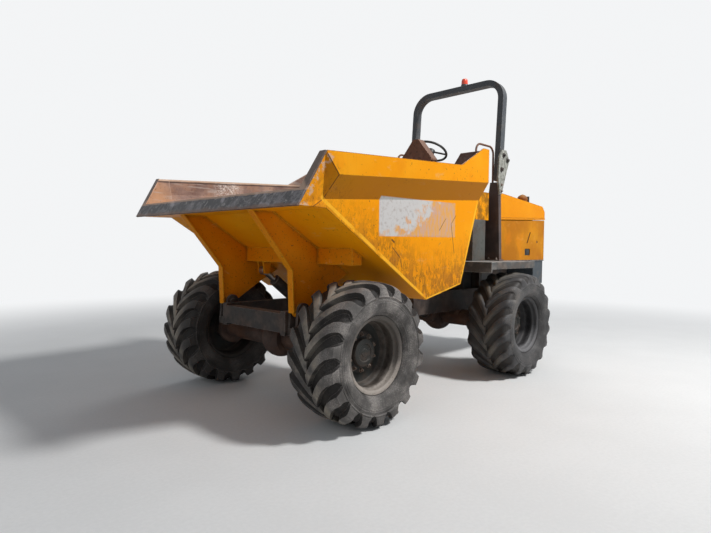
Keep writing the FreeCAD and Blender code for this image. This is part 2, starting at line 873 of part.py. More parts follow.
def steer_ram():
    base = (steer_base_ahead - steer_pivot_back, steer_base_y)
    eye = (-steer_eye_behind - steer_pivot_back, steer_eye_y)
    length = math.dist(base, eye)
    rod_start = steer_ram_start + ram_wall + piston_margin + steer_stroke
    barrel = ram_barrel(steer_barrel_radius, steer_barrel_length, steer_ram_start, steer_rod_radius,
                        steer_eye_radius, 50, 14)
    rod = ram_rod(steer_barrel_radius - ram_wall, rod_start, length, steer_rod_radius, steer_eye_radius, 50)
    lay = (base, eye, steer_ram_z)
    return turn_flat(barrel, *lay), turn_flat(rod, *lay)


# Rear frame

def rear_frame():
    plate = box(rear_plate_x - 30, rear_plate_x, -rear_plate_half, rear_plate_half, yoke_bottom_z + 60, 950)
    tunnel = cyl_x(shaft_radius + 50, 0, shaft_height, rear_plate_x - 60, rear_plate_x + 60)
    plate = plate.cut(tunnel)
    members = both_sides(box(rear_frame_end, rear_plate_x - 15, rear_member_y - member_width / 2,
                             rear_member_y + member_width / 2, member_bottom, rear_member_top))
    lugs = []
    low = yoke_bottom_z + yoke_thick + lug_gap
    high = yoke_top_z - yoke_thick - lug_gap
    pin_hole = yoke_pin_radius + running_gap
    for z0, z1 in ((low, low + lug_thick), (high - lug_thick, high)):
        arm = flat_plate([(rear_plate_x, -150), (rear_plate_x, 150), (pivot_ahead, lug_radius),
                          (pivot_ahead, -lug_radius)], z0, z1)
        lug = join([arm, cyl_z(lug_radius, pivot_ahead, 0, z0, z1)])
        lugs.append(lug.cut(cyl_z(pin_hole, pivot_ahead, 0, z0 - 5, z1 + 5)))
    tail = box(rear_frame_end, rear_frame_end + 30, -rear_member_y, rear_member_y, member_bottom,
               rear_member_top)
    ribs = [box(x, x + 60, -rear_member_y, rear_member_y, rear_member_top - 120, rear_member_top)
            for x in (350, rear_frame_end + 180)]
    x, y = pivot_ahead - steer_eye_behind, steer_eye_y
    eye_plates = [flat_plate([(rear_plate_x, y - 45), (rear_plate_x, y + 45), (x + 18, y + 24), (x + 18, y - 24)],
                             z, z + 14) for z in (steer_ram_z - 44, steer_ram_z + 30)]
    front_riser = deck_front_x - deck_thick - face_gap
    risers = both_sides(box(front_riser - 60, front_riser, rear_member_y - 30, rear_member_y + 30,
                            rear_member_top, deck_z - deck_thick))
    risers += both_sides(box(fender_rear_x, fender_rear_x + 60, rear_member_y - 30, rear_member_y + 30,
                             rear_member_top, deck_z - deck_thick))
    return join([plate, tail] + members + lugs + ribs + eye_plates + risers)


def deck():
    plate = box(hood_front_x, deck_front_x, -fender_inner_y, fender_inner_y, deck_z - deck_thick, deck_z)
    rear = box(hood_rear_x, fender_rear_x - face_gap, -hood_half, hood_half, deck_z - deck_thick, deck_z)
    middle = box(fender_rear_x - face_gap, hood_front_x, -fender_inner_y, fender_inner_y,
                 deck_z - deck_thick, deck_z)
    hole = box(engine_rear_x - 10, engine_front_x + 10, -engine_half - 10, engine_half + 10,
               deck_z - deck_thick - 1, deck_z + 1)
    front_lip = box(deck_front_x - deck_thick, deck_front_x, -fender_inner_y, fender_inner_y,
                    deck_z - deck_front_lip, deck_z)
    step = box(floor_rear_x, deck_front_x - 25, -floor_half, floor_half, deck_z, floor_z)
    under_step = box(floor_rear_x - 1, deck_front_x - 25 - deck_thick, -floor_half + deck_thick,
                     floor_half - deck_thick, deck_z - deck_thick - 1, floor_z - deck_thick)
    return join([plate, middle, rear, front_lip, step]).cut(under_step).cut(hole)


def fender():
    y0 = fender_inner_y
    plate = box(fender_rear_x, deck_front_x, y0, deck_half, deck_z - deck_thick, deck_z)
    side = box(fender_rear_x, deck_front_x, deck_half - deck_thick, deck_half, deck_z - deck_lip, deck_z)
    front = box(deck_front_x - deck_thick, deck_front_x, y0, deck_half, deck_z - deck_front_lip, deck_z)
    back = box(fender_rear_x, fender_rear_x + deck_thick, y0 + 60, deck_half, deck_z - deck_lip, deck_z)
    return join([plate, side, front, back])


def fenders():
    return Part.makeCompound(both_sides(fender()))


def engine_side_panels():
    outline = [
        (hood_front_x, deck_z + face_gap),
        (hood_rear_x + panel_thick, deck_z + face_gap),
        (hood_rear_x + panel_thick, seam_rear_z - seam_gap),
        (hood_front_x, seam_front_z - seam_gap),
    ]
    outside = hood_half - 3
    panel = side_plate(outline, outside - panel_thick, outside)
    latch = box(latch_x - latch_wide / 2, latch_x + latch_wide / 2, outside - latch_deep, outside + 1,
                latch_z - latch_high / 2, latch_z + latch_high / 2)
    slot = side_plate([(latch_x, slot_bottom_z), (latch_x + slot_wide, slot_bottom_z),
                       (latch_x + slot_wide - slot_lean, slot_top_z), (latch_x - slot_lean, slot_top_z)],
                      outside - latch_deep, outside + 1)
    hole = cyl_y(lock_radius, lock_x, lock_z, outside - latch_deep, outside + 1)
    return Part.makeCompound(both_sides(panel.cut([latch, slot, hole])))


def rear_grille():
    y = hood_half - panel_thick - 3.3
    panel = box(hood_rear_x, hood_rear_x + panel_thick, -hood_half + 3, hood_half - 3, deck_z + face_gap,
                seam_rear_z - seam_gap)
    slots = [box(hood_rear_x - 5, hood_rear_x + 20, -y * 0.72, y * 0.72, grille_bottom_z + row * grille_pitch,
                 grille_bottom_z + row * grille_pitch + grille_slot) for row in range(grille_rows)]
    lugs = []
    for y in hinge_places:
        x = hood_rear_x - hinge_radius
        for low in (y - 60, y + 30 + face_gap):
            lug = box(x, hood_rear_x + 1, low, low + 30 - face_gap, hinge_z() - 35, hinge_z())
            lugs += [lug, cyl_y(hinge_radius, x, hinge_z(), low, low + 30 - face_gap)]
        lugs.append(cyl_y(hinge_pin, x, hinge_z(), y - 55, y + 55))
    return join([panel.cut(slots)] + lugs)


def hood_cover():
    outline = [
        (hood_front_x, seam_front_z),
        (hood_front_x, hood_top_front_z),
        (hood_rear_x + hood_corner, hood_top_rear_z),
        (hood_rear_x, hood_top_rear_z - hood_corner),
        (hood_rear_x, seam_rear_z),
    ]
    w = hood_wall
    inside = [
        (hood_front_x - w, seam_front_z - 60),
        (hood_front_x - w, hood_top_front_z - w),
        (hood_rear_x + hood_corner, hood_top_rear_z - w),
        (hood_rear_x + w, hood_top_rear_z - hood_corner),
        (hood_rear_x + w, seam_rear_z - 60),
    ]
    cover = side_plate(outline, -hood_half, hood_half)
    cover = cover.cut(side_plate(inside, -hood_half + w, hood_half - w))
    for x, y, radius in ((cleaner_x, cleaner_y, cleaner_stem), (exhaust_x, exhaust_y, exhaust_radius)):
        cover = cover.cut(cyl_z(radius + face_gap, x, y, seam_rear_z, hood_top_front_z + 50))
    lip = side_plate([(hood_front_x, seam_front_z), (hood_rear_x, seam_rear_z),
                      (hood_rear_x, seam_rear_z + cover_lip_high),
                      (hood_front_x, seam_front_z + cover_lip_high)], hood_half - 1, hood_half + cover_lip)
    cover = join([cover] + both_sides(lip))
    knuckles = []
    for y in hinge_places:
        leaf = box(hood_rear_x - hinge_radius, hood_rear_x + w, y - 30, y + 30, hinge_z(), seam_rear_z + 25)
        knuckles.append(join([leaf, cyl_y(hinge_radius, hood_rear_x - hinge_radius, hinge_z(), y - 30, y + 30)]))
    cover = join([cover] + knuckles)
    for y in hinge_places:
        cover = cover.cut(cyl_y(hinge_pin + running_gap, hood_rear_x - hinge_radius, hinge_z(), y - 40, y + 40))
    return cover


def hinge_z():
    return seam_rear_z - seam_gap / 2


def hood_top_z(x):
    run = hood_front_x - hood_rear_x - hood_corner
    return hood_top_front_z - (hood_top_front_z - hood_top_rear_z) * (hood_front_x - x) / run


def pre_cleaner():
    foot = hood_top_z(cleaner_x)
    stem = cyl_z(cleaner_stem, cleaner_x, cleaner_y, foot - 60, foot + 60)
    bowl = Part.makeCone(50, 66, 70, vec(cleaner_x, cleaner_y, foot + 50))
    cap = Part.makeCone(66, 40, 25, vec(cleaner_x, cleaner_y, foot + 120))
    return join([stem, bowl, cap])


def exhaust_stub():
    foot = hood_top_z(exhaust_x)
    return cyl_z(exhaust_radius, exhaust_x, exhaust_y, foot - 80, foot + 130)


def rear_bumper():
    return box(rear_frame_end - 50, engine_rear_x - 20, -hood_half + 10, hood_half - 10, bumper_bottom_z,
               deck_z - deck_thick - face_gap)


def engine_block():
    block = box(engine_rear_x, engine_front_x, -engine_half, engine_half, engine_bottom_z, engine_top_z)
    feet = [box(x - 35, x + 35, -rear_member_y, rear_member_y, rear_member_top + face_gap, rear_member_top + 60)
            for x in (engine_rear_x + 120, engine_front_x - 120)]
    return join([block] + feet)


def gearbox():
    return box(engine_front_x + face_gap, gearbox_front_x, -gearbox_half, gearbox_half, gearbox_bottom_z, gearbox_top_z)


# Roll bar

def rops_posts():
    x0 = post_front_x - post_depth
    post = cross_plate([
        (post_base_inner, deck_z),
        (post_base_outer, deck_z),
        (hoop_outer, post_top_z),
        (post_top_inner, post_top_z),
    ], x0, post_front_x)
    plate = side_plate([
        (post_front_x, fold_z - hinge_plate_drop),
        (fold_x + 115, fold_z - hinge_plate_drop),
        (fold_x + 10, fold_z - 140),
        (fold_x - 50, fold_z - 10),
        (fold_x - 22, fold_z + 50),
        (fold_x + 20, fold_z + 115),
        (fold_x + 120, fold_z + 115),
        (fold_x + 185, fold_z + 20),
        (fold_x + 205, fold_z - 230),
    ], hoop_outer + 2, hoop_outer + 2 + hinge_plate_thick)
    strap = box(x0, post_front_x, hoop_outer - 20, hoop_outer + 5, post_top_z - strap_high, post_top_z)
    foot = box(x0 - foot_margin, post_front_x + 2 * foot_margin, post_base_inner - foot_margin,
               post_base_outer + foot_margin, deck_z, deck_z + foot_thick)
    pin = cyl_y(fold_pin_radius, fold_x, fold_z, hoop_outer - hoop_side - 4, hoop_outer + 10)
    return Part.makeCompound(both_sides(join([post, plate, strap, pin, foot])))


def lean_back(shape):
    shape.rotate(vec(hoop_base_x, 0, hoop_bottom_z), vec(0, 1, 0), -hoop_lean)
    return shape


def rops_hoop():
    def arch(half, top, bend):
        z0 = hoop_bottom_z
        edges = [
            Part.LineSegment(vec(0, -half, z0), vec(0, -half, top - bend)),
            Part.Arc(vec(0, -half, top - bend), vec(0, -half + bend * (1 - math.sqrt(0.5)),
                     top - bend * (1 - math.sqrt(0.5))), vec(0, -half + bend, top)),
            Part.LineSegment(vec(0, -half + bend, top), vec(0, half - bend, top)),
            Part.Arc(vec(0, half - bend, top), vec(0, half - bend * (1 - math.sqrt(0.5)),
                     top - bend * (1 - math.sqrt(0.5))), vec(0, half, top - bend)),
            Part.LineSegment(vec(0, half, top - bend), vec(0, half, z0)),
            Part.LineSegment(vec(0, half, z0), vec(0, -half, z0)),
        ]
        return Part.Face(Part.Wire([edge.toShape() for edge in edges]))

    outer = arch(hoop_outer, hoop_top_z, hoop_bend).extrude(vec(hoop_depth, 0, 0))
    inner = arch(hoop_outer - hoop_side, hoop_top_z - hoop_side, hoop_bend - hoop_side)
    inner = inner.extrude(vec(hoop_depth, 0, 0))
    hoop = outer.cut(inner)
    hoop.translate(vec(hoop_base_x - hoop_depth / 2, 0, 0))
    hoop = lean_back(hoop)
    plate = side_plate([(fold_x - 35, fold_z - 35), (fold_x - 35, fold_z + 35), (hoop_base_x, fold_z + 90),
                        (hoop_base_x, fold_z - 90)], hoop_outer - hoop_side + 4, hoop_outer - 4)
    hoop = hoop.fuse(both_sides(plate)).removeSplitter()
    hole = cyl_y(fold_pin_radius + running_gap, fold_x, fold_z, hoop_outer - hoop_side - 20, hoop_outer + 20)
    return hoop.cut(both_sides(hole))


def beacon():
    foot = hoop_top_z + face_gap
    stem = cyl_z(16, hoop_base_x, beacon_y, foot, foot + 30)
    lens = Part.makeCone(48, 40, 70, vec(hoop_base_x, beacon_y, foot + 30))
    return lean_back(join([stem, lens]))


# Driver's place

def seat_base():
    return box(seat_rear_x - 20, floor_rear_x - face_gap, -seat_half + 10, seat_half - 10, deck_z + face_gap,
               seat_top_z - seat_thick)


def seat_cushion():
    return box(seat_rear_x, seat_front_x, -seat_half, seat_half, seat_top_z - seat_thick + face_gap, seat_top_z)


def seat_backrest():
    foot = seat_top_z + face_gap
    half = seat_half - backrest_inset
    return side_plate([(seat_rear_x, foot), (seat_rear_x + backrest_foot, foot),
                       (seat_rear_x + backrest_foot - backrest_lean, backrest_top_z),
                       (seat_rear_x - backrest_foot, backrest_top_z)], -half, half)


def side_consoles():
    return Part.makeCompound(both_sides(box(console_rear_x, console_front_x, console_y - console_width, console_y,
                                            console_split_z + face_gap, console_top_z)))


def console_stands():
    return Part.makeCompound(both_sides(box(stand_rear_x, stand_front_x, console_y - console_width, console_y,
                                            deck_z, console_split_z)))


def grab_rails():
    """Bent tube on each side, from the console's top back to the roll bar post's top."""
    bend = rail_bend
    top = rail_top_z
    reach = bend * (1 - math.sqrt(0.5))
    edges = [
        Part.LineSegment(vec(rail_front_x, 0, console_top_z + face_gap), vec(rail_front_x, 0, top - bend)),
        Part.Arc(vec(rail_front_x, 0, top - bend), vec(rail_front_x - reach, 0, top - reach),
                 vec(rail_front_x - bend, 0, top)),
        Part.LineSegment(vec(rail_front_x - bend, 0, top), vec(rail_rear_x + bend, 0, top)),
        Part.Arc(vec(rail_rear_x + bend, 0, top), vec(rail_rear_x + reach, 0, top - reach),
                 vec(rail_rear_x, 0, top - bend)),
        Part.LineSegment(vec(rail_rear_x, 0, top - bend), vec(rail_rear_x, 0, post_top_z + face_gap)),
    ]
    line = Part.Wire([edge.toShape() for edge in edges])
    ring = Part.Wire([Part.makeCircle(rail_radius, vec(rail_front_x, 0, console_top_z + face_gap), vec(0, 0, 1))])
    rail = line.makePipeShell([ring], True, False)
    rail.translate(vec(0, rail_y, 0))
    return Part.makeCompound(both_sides(rail))


def dash_tower():
    """Slender tower under a pod that narrows to its top."""
    half = [(dash_foot_half, floor_z), (dash_foot_half, dash_waist_z - dash_flare), (dash_half, dash_waist_z),
            (dash_half, dash_waist_z + dash_band), (dash_tip_half, dash_top_z)]
    return cross_plate(half + [(-y, z) for y, z in reversed(half)], dash_rear_x, dash_front_x)


def steering_column():
    tilt = math.radians(wheel_tilt)
    axis = vec(-math.sin(tilt), 0, math.cos(tilt))
    top = vec(wheel_x, 0, wheel_z) - axis * (wheel_hub_drop + face_gap)
    column = Part.makeCylinder(column_radius, column_length, top - axis * column_length, axis)
    pieces = column.cut(dash_tower()).Solids
    return max(pieces, key=lambda piece: piece.BoundBox.ZMax)


def steering_wheel():
    ring = Part.makeTorus(wheel_rim_radius, wheel_grip_radius, vec(0, 0, 0), vec(0, 0, 1))
    hub = Part.makeCylinder(45, wheel_hub_drop + 15, vec(0, 0, -wheel_hub_drop))
    spokes = []
    for turn in (0, 120, 240):
        spoke = box(20, wheel_rim_radius, -12, 12, -8, 2)
        spoke.rotate(vec(0, 0, 0), vec(0, 0, 1), turn)
        spokes.append(spoke)
    whole = join([ring, hub] + spokes)
    whole.rotate(vec(0, 0, 0), vec(0, 1, 0), -wheel_tilt)
    whole.translate(vec(wheel_x, 0, wheel_z))
    return whole


def control_levers():
    y = console_width / 2 - console_y
    top = console_top_z + lever_length
    levers = [cyl_z(lever_radius, x, y, console_top_z + face_gap, top) for x in lever_places]
    knobs = [Part.makeSphere(knob_radius, vec(x, y, top + knob_radius / 2)) for x in lever_places]
    return Part.makeCompound([join([lever, knob]) for lever, knob in zip(levers, knobs)])


def tow_hitch():
    end = -tail_overhang
    jaw = box(end, rear_frame_end, -hitch_half, hitch_half, hitch_bottom_z, hitch_top_z)
    gap = box(end - 1, hitch_bore_x + 60, -hitch_half - 1, hitch_half + 1, hitch_bottom_z + hitch_wall,
              hitch_top_z - hitch_wall)
    bore = cyl_z(hitch_bore_radius, hitch_bore_x, 0, hitch_bottom_z - 1, hitch_top_z + 1)
    return jaw.cut(gap).cut(bore)


front_parts = {
    "front_frame": front_frame(),
    "front_axle": front_axle(),
    "front_drive_shaft": drive_shaft(20 - steer_pivot_back, -diff_radius - 60 - face_gap),
    "skip_tub": skip_tub(),
    "skip_mouth_edge": skip_mouth_edge(),
    "skip_ribs": skip_ribs(),
    "skip_cross_beam": skip_cross_beam(),
}
rear_parts = {
    "rear_frame": rear_frame(),
    "rear_axle": rear_axle(),
    "rear_drive_shaft": drive_shaft(diff_radius + 60 + face_gap, pivot_ahead - 20),
    "engine_block": engine_block(),
    "gearbox": gearbox(),
    "deck": deck(),
    "fenders": fenders(),
    "seat_base": seat_base(),
    "seat_cushion": seat_cushion(),
    "seat_backrest": seat_backrest(),
    "side_consoles": side_consoles(),
    "console_stands": console_stands(),
    "grab_rails": grab_rails(),
    "dash_tower": dash_tower(),
    "steering_column": steering_column(),
    "steering_wheel": steering_wheel(),
    "control_levers": control_levers(),
    "engine_side_panels": engine_side_panels(),
    "rear_grille": rear_grille(),
    "rear_bumper": rear_bumper(),
    "tow_hitch": tow_hitch(),
    "hood_cover": hood_cover(),
    "pre_cleaner": pre_cleaner(),
    "exhaust_stub": exhaust_stub(),
    "rops_posts": rops_posts(),
    "rops_hoop": rops_hoop(),
    "beacon": beacon(),
}

treads = {"front": tyre(lug_depth), "rear": tyre(worn_lug_depth)}
front_parts["steer_ram_barrel"], front_parts["steer_ram_rod"] = steer_ram()
for hand, sign in (("left", 1), ("right", -1)):
    barrel, rod = tip_ram(sign * ram_y)
    front_parts["tip_ram_barrel_" + hand] = barrel
    front_parts["tip_ram_rod_" + hand] = rod
    for end, group in (("front", front_parts), ("rear", rear_parts)):
        group["tyre_%s_%s" % (end, hand)] = treads[end].translated(vec(0, sign * half_track, 0))
        group["rim_%s_%s" % (end, hand)] = rim(sign * half_track, sign)

for group, axle_x in ((front_parts, front_axle_x), (rear_parts, rear_axle_x)):
    for name, shape in group.items():
        export(name, shape, axle_x)
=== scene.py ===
# %% [markdown]
# A site dumper carries earth in a steel skip that tips forward over its front wheels. This file dresses
# the finished solids of one such machine: it gives each of them a worn finish and replaces the few whose
# real shape is too fine for a plain solid, such as the lugged tyres, the wheels and the padded seat.

# %% Load the fixed frame
import math

import bmesh
import bpy
import numpy as np
from mathutils import Matrix, Vector


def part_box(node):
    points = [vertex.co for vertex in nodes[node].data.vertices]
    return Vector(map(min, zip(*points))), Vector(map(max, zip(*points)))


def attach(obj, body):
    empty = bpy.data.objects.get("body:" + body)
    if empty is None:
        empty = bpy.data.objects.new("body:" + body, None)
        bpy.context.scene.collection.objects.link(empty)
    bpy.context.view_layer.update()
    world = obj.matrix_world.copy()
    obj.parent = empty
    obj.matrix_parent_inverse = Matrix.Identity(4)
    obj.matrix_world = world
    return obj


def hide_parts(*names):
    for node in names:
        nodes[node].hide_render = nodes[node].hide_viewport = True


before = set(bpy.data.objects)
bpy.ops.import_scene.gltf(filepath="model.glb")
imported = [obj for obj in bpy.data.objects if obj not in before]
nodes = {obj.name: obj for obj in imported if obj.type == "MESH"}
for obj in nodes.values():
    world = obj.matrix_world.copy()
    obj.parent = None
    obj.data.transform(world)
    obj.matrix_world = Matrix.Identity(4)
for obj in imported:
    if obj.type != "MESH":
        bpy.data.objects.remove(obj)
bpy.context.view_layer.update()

# %% [markdown]
# Most places on the machine are counted from its two axles. Their x is read from the tyres, so that
# nothing below has to be changed if the frame is packed again with a longer wheelbase. The height of the
# hubs and how far the tyres stand from the middle are read there too.

# %% Where the two axles are


def middle(node):
    low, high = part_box(node)
    return (low + high) / 2


FRONT = middle("tyre_front_left").x
REAR = middle("tyre_rear_left").x
HUB_HEIGHT = middle("tyre_front_left").z
HALF_TRACK = middle("tyre_front_left").y
print("front axle x", round(FRONT, 4), "rear axle x", round(REAR, 4))

# %% [markdown]
# The camera stands where the photographer stood: a little ahead of the machine, on its left, at the
# height of a person's chest, with a wide lens. A wide lens close by makes the front wheel look large.

# %% Camera
camera_data = bpy.data.cameras.new("photo_camera")
camera_data.lens = 27.04
camera_data.sensor_width = 36.0
camera = bpy.data.objects.new("photo_camera", camera_data)
scene = bpy.context.scene
scene.collection.objects.link(camera)
yaw, pitch, roll = (math.radians(a) for a in (-136.11, 2.03, 0.65))
ahead = Vector((math.cos(yaw) * math.cos(pitch), math.sin(yaw) * math.cos(pitch), -math.sin(pitch)))
right = ahead.cross(Vector((0, 0, 1))).normalized()
up = right.cross(ahead)
right, up = (right * math.cos(roll) + up * math.sin(roll), up * math.cos(roll) - right * math.sin(roll))
turn = Matrix((right, up, -ahead)).transposed()
camera.matrix_world = Matrix.Translation((FRONT + 3.047, 3.86, 1.387)) @ turn.to_4x4()
scene.camera = camera
print("lens", camera_data.lens, "mm")

# %% [markdown]
# A finish is a net of nodes, and long nets are hard to read as links. One small class wraps a socket, so
# that a net can be written as sums and products. Anything that isn't plain arithmetic comes from its one
# method, which takes the node's type, its settings and the values of its sockets.

# %% A class for shader arithmetic


class Field:
    """A value that varies over a surface. Arithmetic on it adds the nodes that work it out."""

    def __init__(self, tree, socket=None):
        self.tree = tree
        self.socket = socket

    def node(self, kind, settings=None, inputs=None):
        """Add a node and give back its first output."""
        made = self.tree.nodes.new("ShaderNode" + kind)
        for name, value in (settings or {}).items():
            setattr(made, name, value)
        for place, value in (inputs or {}).items():
            if isinstance(value, Field):
                self.tree.links.new(value.socket, made.inputs[place])
            else:
                made.inputs[place].default_value = value
        return Field(self.tree, made.outputs[0])

    def output(self, name):
        """Another output of the same node, by its name or its number."""
        return Field(self.tree, self.socket.node.outputs[name])

    def maths(self, operation, first, second=0.0):
        return self.node("Math", {"operation": operation}, {0: first, 1: second})

    def vectors(self, operation, first, second=(0.0, 0.0, 0.0)):
        return self.node("VectorMath", {"operation": operation}, {0: first, 1: second})

    def __add__(self, other):
        return self.maths("ADD", self, other)

    def __sub__(self, other):
        return self.maths("SUBTRACT", self, other)

    def __rsub__(self, other):
        return self.maths("SUBTRACT", other, self)

    def __mul__(self, other):
        return self.maths("MULTIPLY", self, other)

    def __abs__(self):
        return self.maths("ABSOLUTE", self)

    __radd__ = __add__
    __rmul__ = __mul__


# %% [markdown]
# Every finish starts in the same way, and reads where a point lies and which way it faces in the object's
# own coordinates. Those don't move when a joint moves, so the wear stays where it is on its piece.

# %% Starting a finish


def start_finish(name, gloss=0.5):
    """A new material with its principled shader, and a field to build on."""
    material = bpy.data.materials.new(name)
    material.use_nodes = True
    shader = material.node_tree.nodes["Principled BSDF"]
    shader.inputs["Specular IOR Level"].default_value = gloss
    return material, shader, Field(material.node_tree)


def place_of(field):
    return field.node("TexCoord").output("Object")


def facing_of(field):
    """The surface's normal in the object's own frame."""
    return field.node("TexCoord").output("Normal")


def axes(place):
    """The three parts of a place or a normal as fields."""
    parts = place.node("SeparateXYZ", {}, {0: place})
    return [parts.output(name) for name in "XYZ"]


def scaled(place, scale):
    return place.vectors("MULTIPLY", place, scale)


def dot(first, second):
    return first.vectors("DOT_PRODUCT", first, second).output("Value")


def length_of(place):
    return place.vectors("LENGTH", place).output("Value")


def from_hub(place, axle):
    """The way from a wheel's axis to a place, square to that axis."""
    return scaled(place.vectors("SUBTRACT", place, (axle, 0.0, HUB_HEIGHT)), (1.0, 0.0, 1.0))


def larger(first, second):
    return first.maths("MAXIMUM", first, second)


# %% [markdown]
# Wear and painted light are made from a few masks that every finish shares. Noise gives blotches, the same
# noise squeezed one way gives scratches and streaks, and a rounded normal that differs from the flat one
# marks the edges, where paint goes first and where highlights are painted. Another mask darkens corners and
# under things with painted shade.

# %% Masks that the finishes share


def noise(place, scale, detail=3.0, rough=0.55, twist=0.0):
    """Clouds, so many to the metre, or so many along each axis where scale is a tuple."""
    if isinstance(scale, tuple):
        place, scale = scaled(place, scale), 1.0
    inputs = {"Vector": place, "Scale": scale, "Detail": detail, "Roughness": rough, "Distortion": twist}
    return place.node("TexNoise", {}, inputs)


def ease(value, low, high):
    """0 below low, 1 above high and a soft step between."""
    return value.node("MapRange", {"interpolation_type": "SMOOTHSTEP"}, {0: value, 1: low, 2: high})


def fade(value, low, high):
    """1 below low, 0 above high and a soft step between."""
    return 1 - ease(value, low, high)


def between(value, low, high, soft):
    """1 from low to high, with a soft step at either end."""
    return ease(value, low - soft, low + soft) * fade(value, high - soft, high + soft)


def rounded_normal(field, radius):
    return field.node("Bevel", {"samples": 4}, {0: radius})


def edges(field, radius, low=0.01, high=0.12):
    """1 along sharp edges, from how far a rounded normal leans away from the flat one."""
    flat = field.node("NewGeometry").output("Normal")
    return ease(1 - dot(rounded_normal(field, radius), flat), low, high)


def shaded_hollows(field, distance):
    """1 in corners and under things, where dirt gathers; what is laid there is grime together with painted
    shade.
    """
    open_share = field.node("AmbientOcclusion", {"samples": 6}, {"Distance": distance}).output("AO")
    return fade(open_share, 0.3, 0.85)


# %% [markdown]
# A colour is built as on the real thing, in coats: a mask says where the next coat lies, and how thickly.
# Small unevenness goes into the normal, on top of edges that look rounded without being so.

# %% Laying on colour and bumps


def paint_over(mask, under, over):
    """The colour under, with the colour over on it where the mask is 1."""
    inputs = {0: mask}
    # inputs 6 and 7 take the node's two colours, and its output 2 gives the mixed one
    for place, colour in ((6, under), (7, over)):
        inputs[place] = colour if isinstance(colour, Field) else (*colour, 1)
    return mask.node("Mix", {"data_type": "RGBA"}, inputs).output(2)


def coated(colour, *coats):
    """A colour with coats of (mask, colour) laid over it, one after the other."""
    for mask, over in coats:
        colour = paint_over(mask, colour, over)
    return colour


def toned(colour, share):
    """A plain colour made darker or lighter."""
    return tuple(part * share for part in colour)


def bumped(height, strength, distance, rounding=0.0):
    """A normal that follows a height, over edges rounded by so much."""
    inputs = {"Strength": strength, "Distance": distance, "Height": height}
    if rounding:
        inputs["Normal"] = rounded_normal(height, rounding)
    return height.node("Bump", {}, inputs)


def link_up(shader, **fields):
    """Feed the fields to the shader's sockets, named in lower case with _ for a space."""
    for name, value in fields.items():
        socket = shader.inputs[name.replace("_", " ").title()]
        if isinstance(value, Field):
            value.tree.links.new(value.socket, socket)
        else:
            socket.default_value = value


def dress(material, *names):
    """Give nodes or pieces one finish."""
    for name in names:
        target = nodes[name] if isinstance(name, str) else name
        target.data.materials.clear()
        target.data.materials.append(material)


# %% [markdown]
# A studio keeps the shapes readable: a large lamp high up behind the machine's left, where the sun stood,
# two weaker ones that open the shadows, and a soft sky. The backdrop is pale only for the camera and for
# what shines or is clear, so it adds no light of its own.

# %% Lamps and sky
scene.view_settings.view_transform = "Standard"
BACKDROP = (0.9, 0.91, 0.92, 1)


def lamp(name, place, target, size, power):
    data = bpy.data.lights.new(name, "AREA")
    data.shape, data.size, data.energy = "DISK", size, power
    made = bpy.data.objects.new(name, data)
    scene.collection.objects.link(made)
    made.location = place
    made.rotation_mode = "QUATERNION"
    made.rotation_quaternion = (Vector(target) - Vector(place)).to_track_quat("-Z", "Y")


def seen_directly(field):
    """1 where the camera, a reflection or a look through glass meets the surface."""
    ray = field.node("LightPath")
    seen = ray.output("Is Camera Ray")
    for name in ("Is Glossy Ray", "Is Transmission Ray"):
        seen = larger(seen, ray.output(name))
    return seen


lamp("key_lamp", (-2.6, 6.4, 8.6), (0.3, 0, 1.0), 1.5, 980)
lamp("front_lamp", (8.5, 2.5, 4.0), (1.0, 0, 1.2), 5.0, 60)
lamp("back_lamp", (-7.5, -5.0, 6.0), (0, 0, 1.2), 5.0, 180)

sky = bpy.data.worlds.new("studio_sky")
sky.use_nodes = True
scene.world = sky
above = Field(sky.node_tree)
light = above.node("Background", {}, {"Color": (0.8, 0.87, 0.97, 1), "Strength": 0.24})
pale = above.node("Background", {}, {"Color": BACKDROP, "Strength": 1.0})
either = above.node("MixShader", {}, {0: seen_directly(above), 1: light, 2: pale})
sky.node_tree.links.new(either.socket, sky.node_tree.nodes["World Output"].inputs["Surface"])

# %% [markdown]
# The floor is a pale, faintly mottled slab. Near the machine it takes the shadow. Further out it turns by
# distance into the backdrop's own tone, so that no horizon shows; a curved backdrop would do the same but
# would also hide the view from behind.

# %% Floor
reach = 60.0
floor_mesh = bpy.data.meshes.new("studio_floor")
corners = [(-reach, -reach, 0), (reach, -reach, 0), (reach, reach, 0), (-reach, reach, 0)]
floor_mesh.from_pydata(corners, [], [(0, 1, 2, 3)])
floor = bpy.data.objects.new("studio_floor", floor_mesh)
scene.collection.objects.link(floor)
slab, slab_shader, slab_field = start_finish("studio_floor")
slab_place = place_of(slab_field)
mottle = noise(slab_place, 1.3, 5.0) * 0.5 + noise(slab_place, 40.0, 3.0) * 0.5
tone = paint_over(ease(mottle, 0.35, 0.65), (0.71, 0.71, 0.7), (0.75, 0.75, 0.74))
link_up(slab_shader, base_color=tone, roughness=0.9, normal=bumped(mottle, 0.15, 0.003))
glow = slab_field.node("Emission", {}, {"Color": BACKDROP, "Strength": 1.0})
far = ease(length_of(slab_place), 4.0, 11.0) * seen_directly(slab_field)
blend = slab_field.node("MixShader", {}, {0: far, 1: Field(slab.node_tree, slab_shader.outputs[0]), 2: glow})
slab.node_tree.links.new(blend.socket, slab.node_tree.nodes["Material Output"].inputs["Surface"])
dress(slab, floor)
print("floor reaches", reach, "m each way")

# %% [markdown]
# The machine's orange-yellow paint is years old. Sun has paled it in clouds, rain has washed dirt down in
# streaks, stones have scratched it, and along edges it has chipped through to brown primer and rust. A
# painted highlight lies along its edges, and grime with painted shade in its corners. The recipe returns its
# fields before they are linked, so that the skip can add wear, painted shade and painted highlights of its
# own to them.

